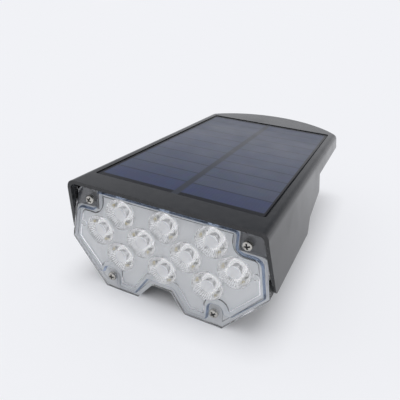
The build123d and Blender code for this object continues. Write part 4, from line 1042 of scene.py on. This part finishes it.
board = mix_colours(tree, in_middle, BOARD_TONE, MIDDLE_TONE)
tree.links.new(mix_colours(tree, bare, silvered, board), panel_shader.inputs["Base Color"])
haze = add(tree, "ShaderNodeTexNoise", {"Vector": object_place(tree), "Scale": SHEET_HAZE_SCALE,
                                        "Detail": 5.0}).outputs[0]
tree.links.new(spread(tree, haze, 0.3, 0.7, 0.34, 0.42), panel_shader.inputs["Roughness"])
make_piece("panel_sheet_laid", sheet_patches, panel_finish, replaced=["panel_sheet"],
           slot="solar_cell")

# %% [markdown]
# ## Inner parts
# The battery, boards and wires are seen only when the lamp is open, but each still has its
# own finish: a circuit board's green, a blue shrink sleeve, red wire skins and white foam. A
# row of the list gives a finish's name, colour, smooth and smudged roughness, other values
# and the pieces that it covers.

# %% Finishes of the inner parts
INNER_FINISHES = [
    ("circuit_green", (0.01, 0.11, 0.045), 0.3, 0.45, {}, ["control_board"]),
    ("component_black", (0.02, 0.02, 0.022), 0.45, 0.6, {},
     ["board_parts", "mode_switch", "switch_plunger"]),
    ("sleeve_blue", (0.02, 0.09, 0.3), 0.22, 0.4, {}, ["battery_cell"]),
    ("wire_red", (0.45, 0.02, 0.015), 0.35, 0.5, {},
     ["panel_leads", "battery_leads", "led_leads"]),
    ("foam_white", (0.7, 0.7, 0.68), 0.8, 0.9, {"Grain Height": 0.0001}, ["panel_tape"]),
    ("seal_blue", (0.42, 0.5, 0.62), 0.4, 0.5, {"Dusty": 0.0}, ["button_seal"]),
    ("gasket_pale", (0.74, 0.75, 0.77), 0.4, 0.5, {"Dusty": 0.0}, ["lens_gasket"]),
    ("button_rubber", (0.03, 0.03, 0.032), 0.5, 0.65, {}, ["mode_button"]),
    ("board_black", (0.018, 0.019, 0.023), 0.35, 0.5, {}, ["panel_board", "panel_cells"]),
]
for name, colour, smooth, smudged, more, painted in INNER_FINISHES:
    paint(painted, plastic(name, colour, {"Smooth": smooth, "Smudged": smudged, **more}))
print("inner finishes", len(INNER_FINISHES))

# %% [markdown]
# ## Gasket beside the screws
# The pale gasket is seen through the window. Beside the upper screws it lies in the shade of
# the hood's lip, and that shade is painted on it in the grey of the pads.

# %% Gasket beside the screws
SHADED_PAST, SHADED_ABOVE = 35.7, 43.4
gasket_pale = nodes["lens_gasket"].data.materials[0]
tree = gasket_pale.node_tree
place = add(tree, "ShaderNodeSeparateXYZ", {0: object_place(tree)}).outputs
across = calculate(tree, "ABSOLUTE", place["X"])
painted_shade_beside_screw = calculate(tree, "MULTIPLY",
                         calculate(tree, "GREATER_THAN", place["Z"], SHADED_ABOVE * MM),
                         calculate(tree, "GREATER_THAN", across, SHADED_PAST * MM))
# Painted shade: the pale gasket turns grey beside the upper screws.
over_base_colour(gasket_pale, painted_shade_beside_screw, PAINTED_CORNER_GREY)
print("gasket is grey above", SHADED_ABOVE, "mm")
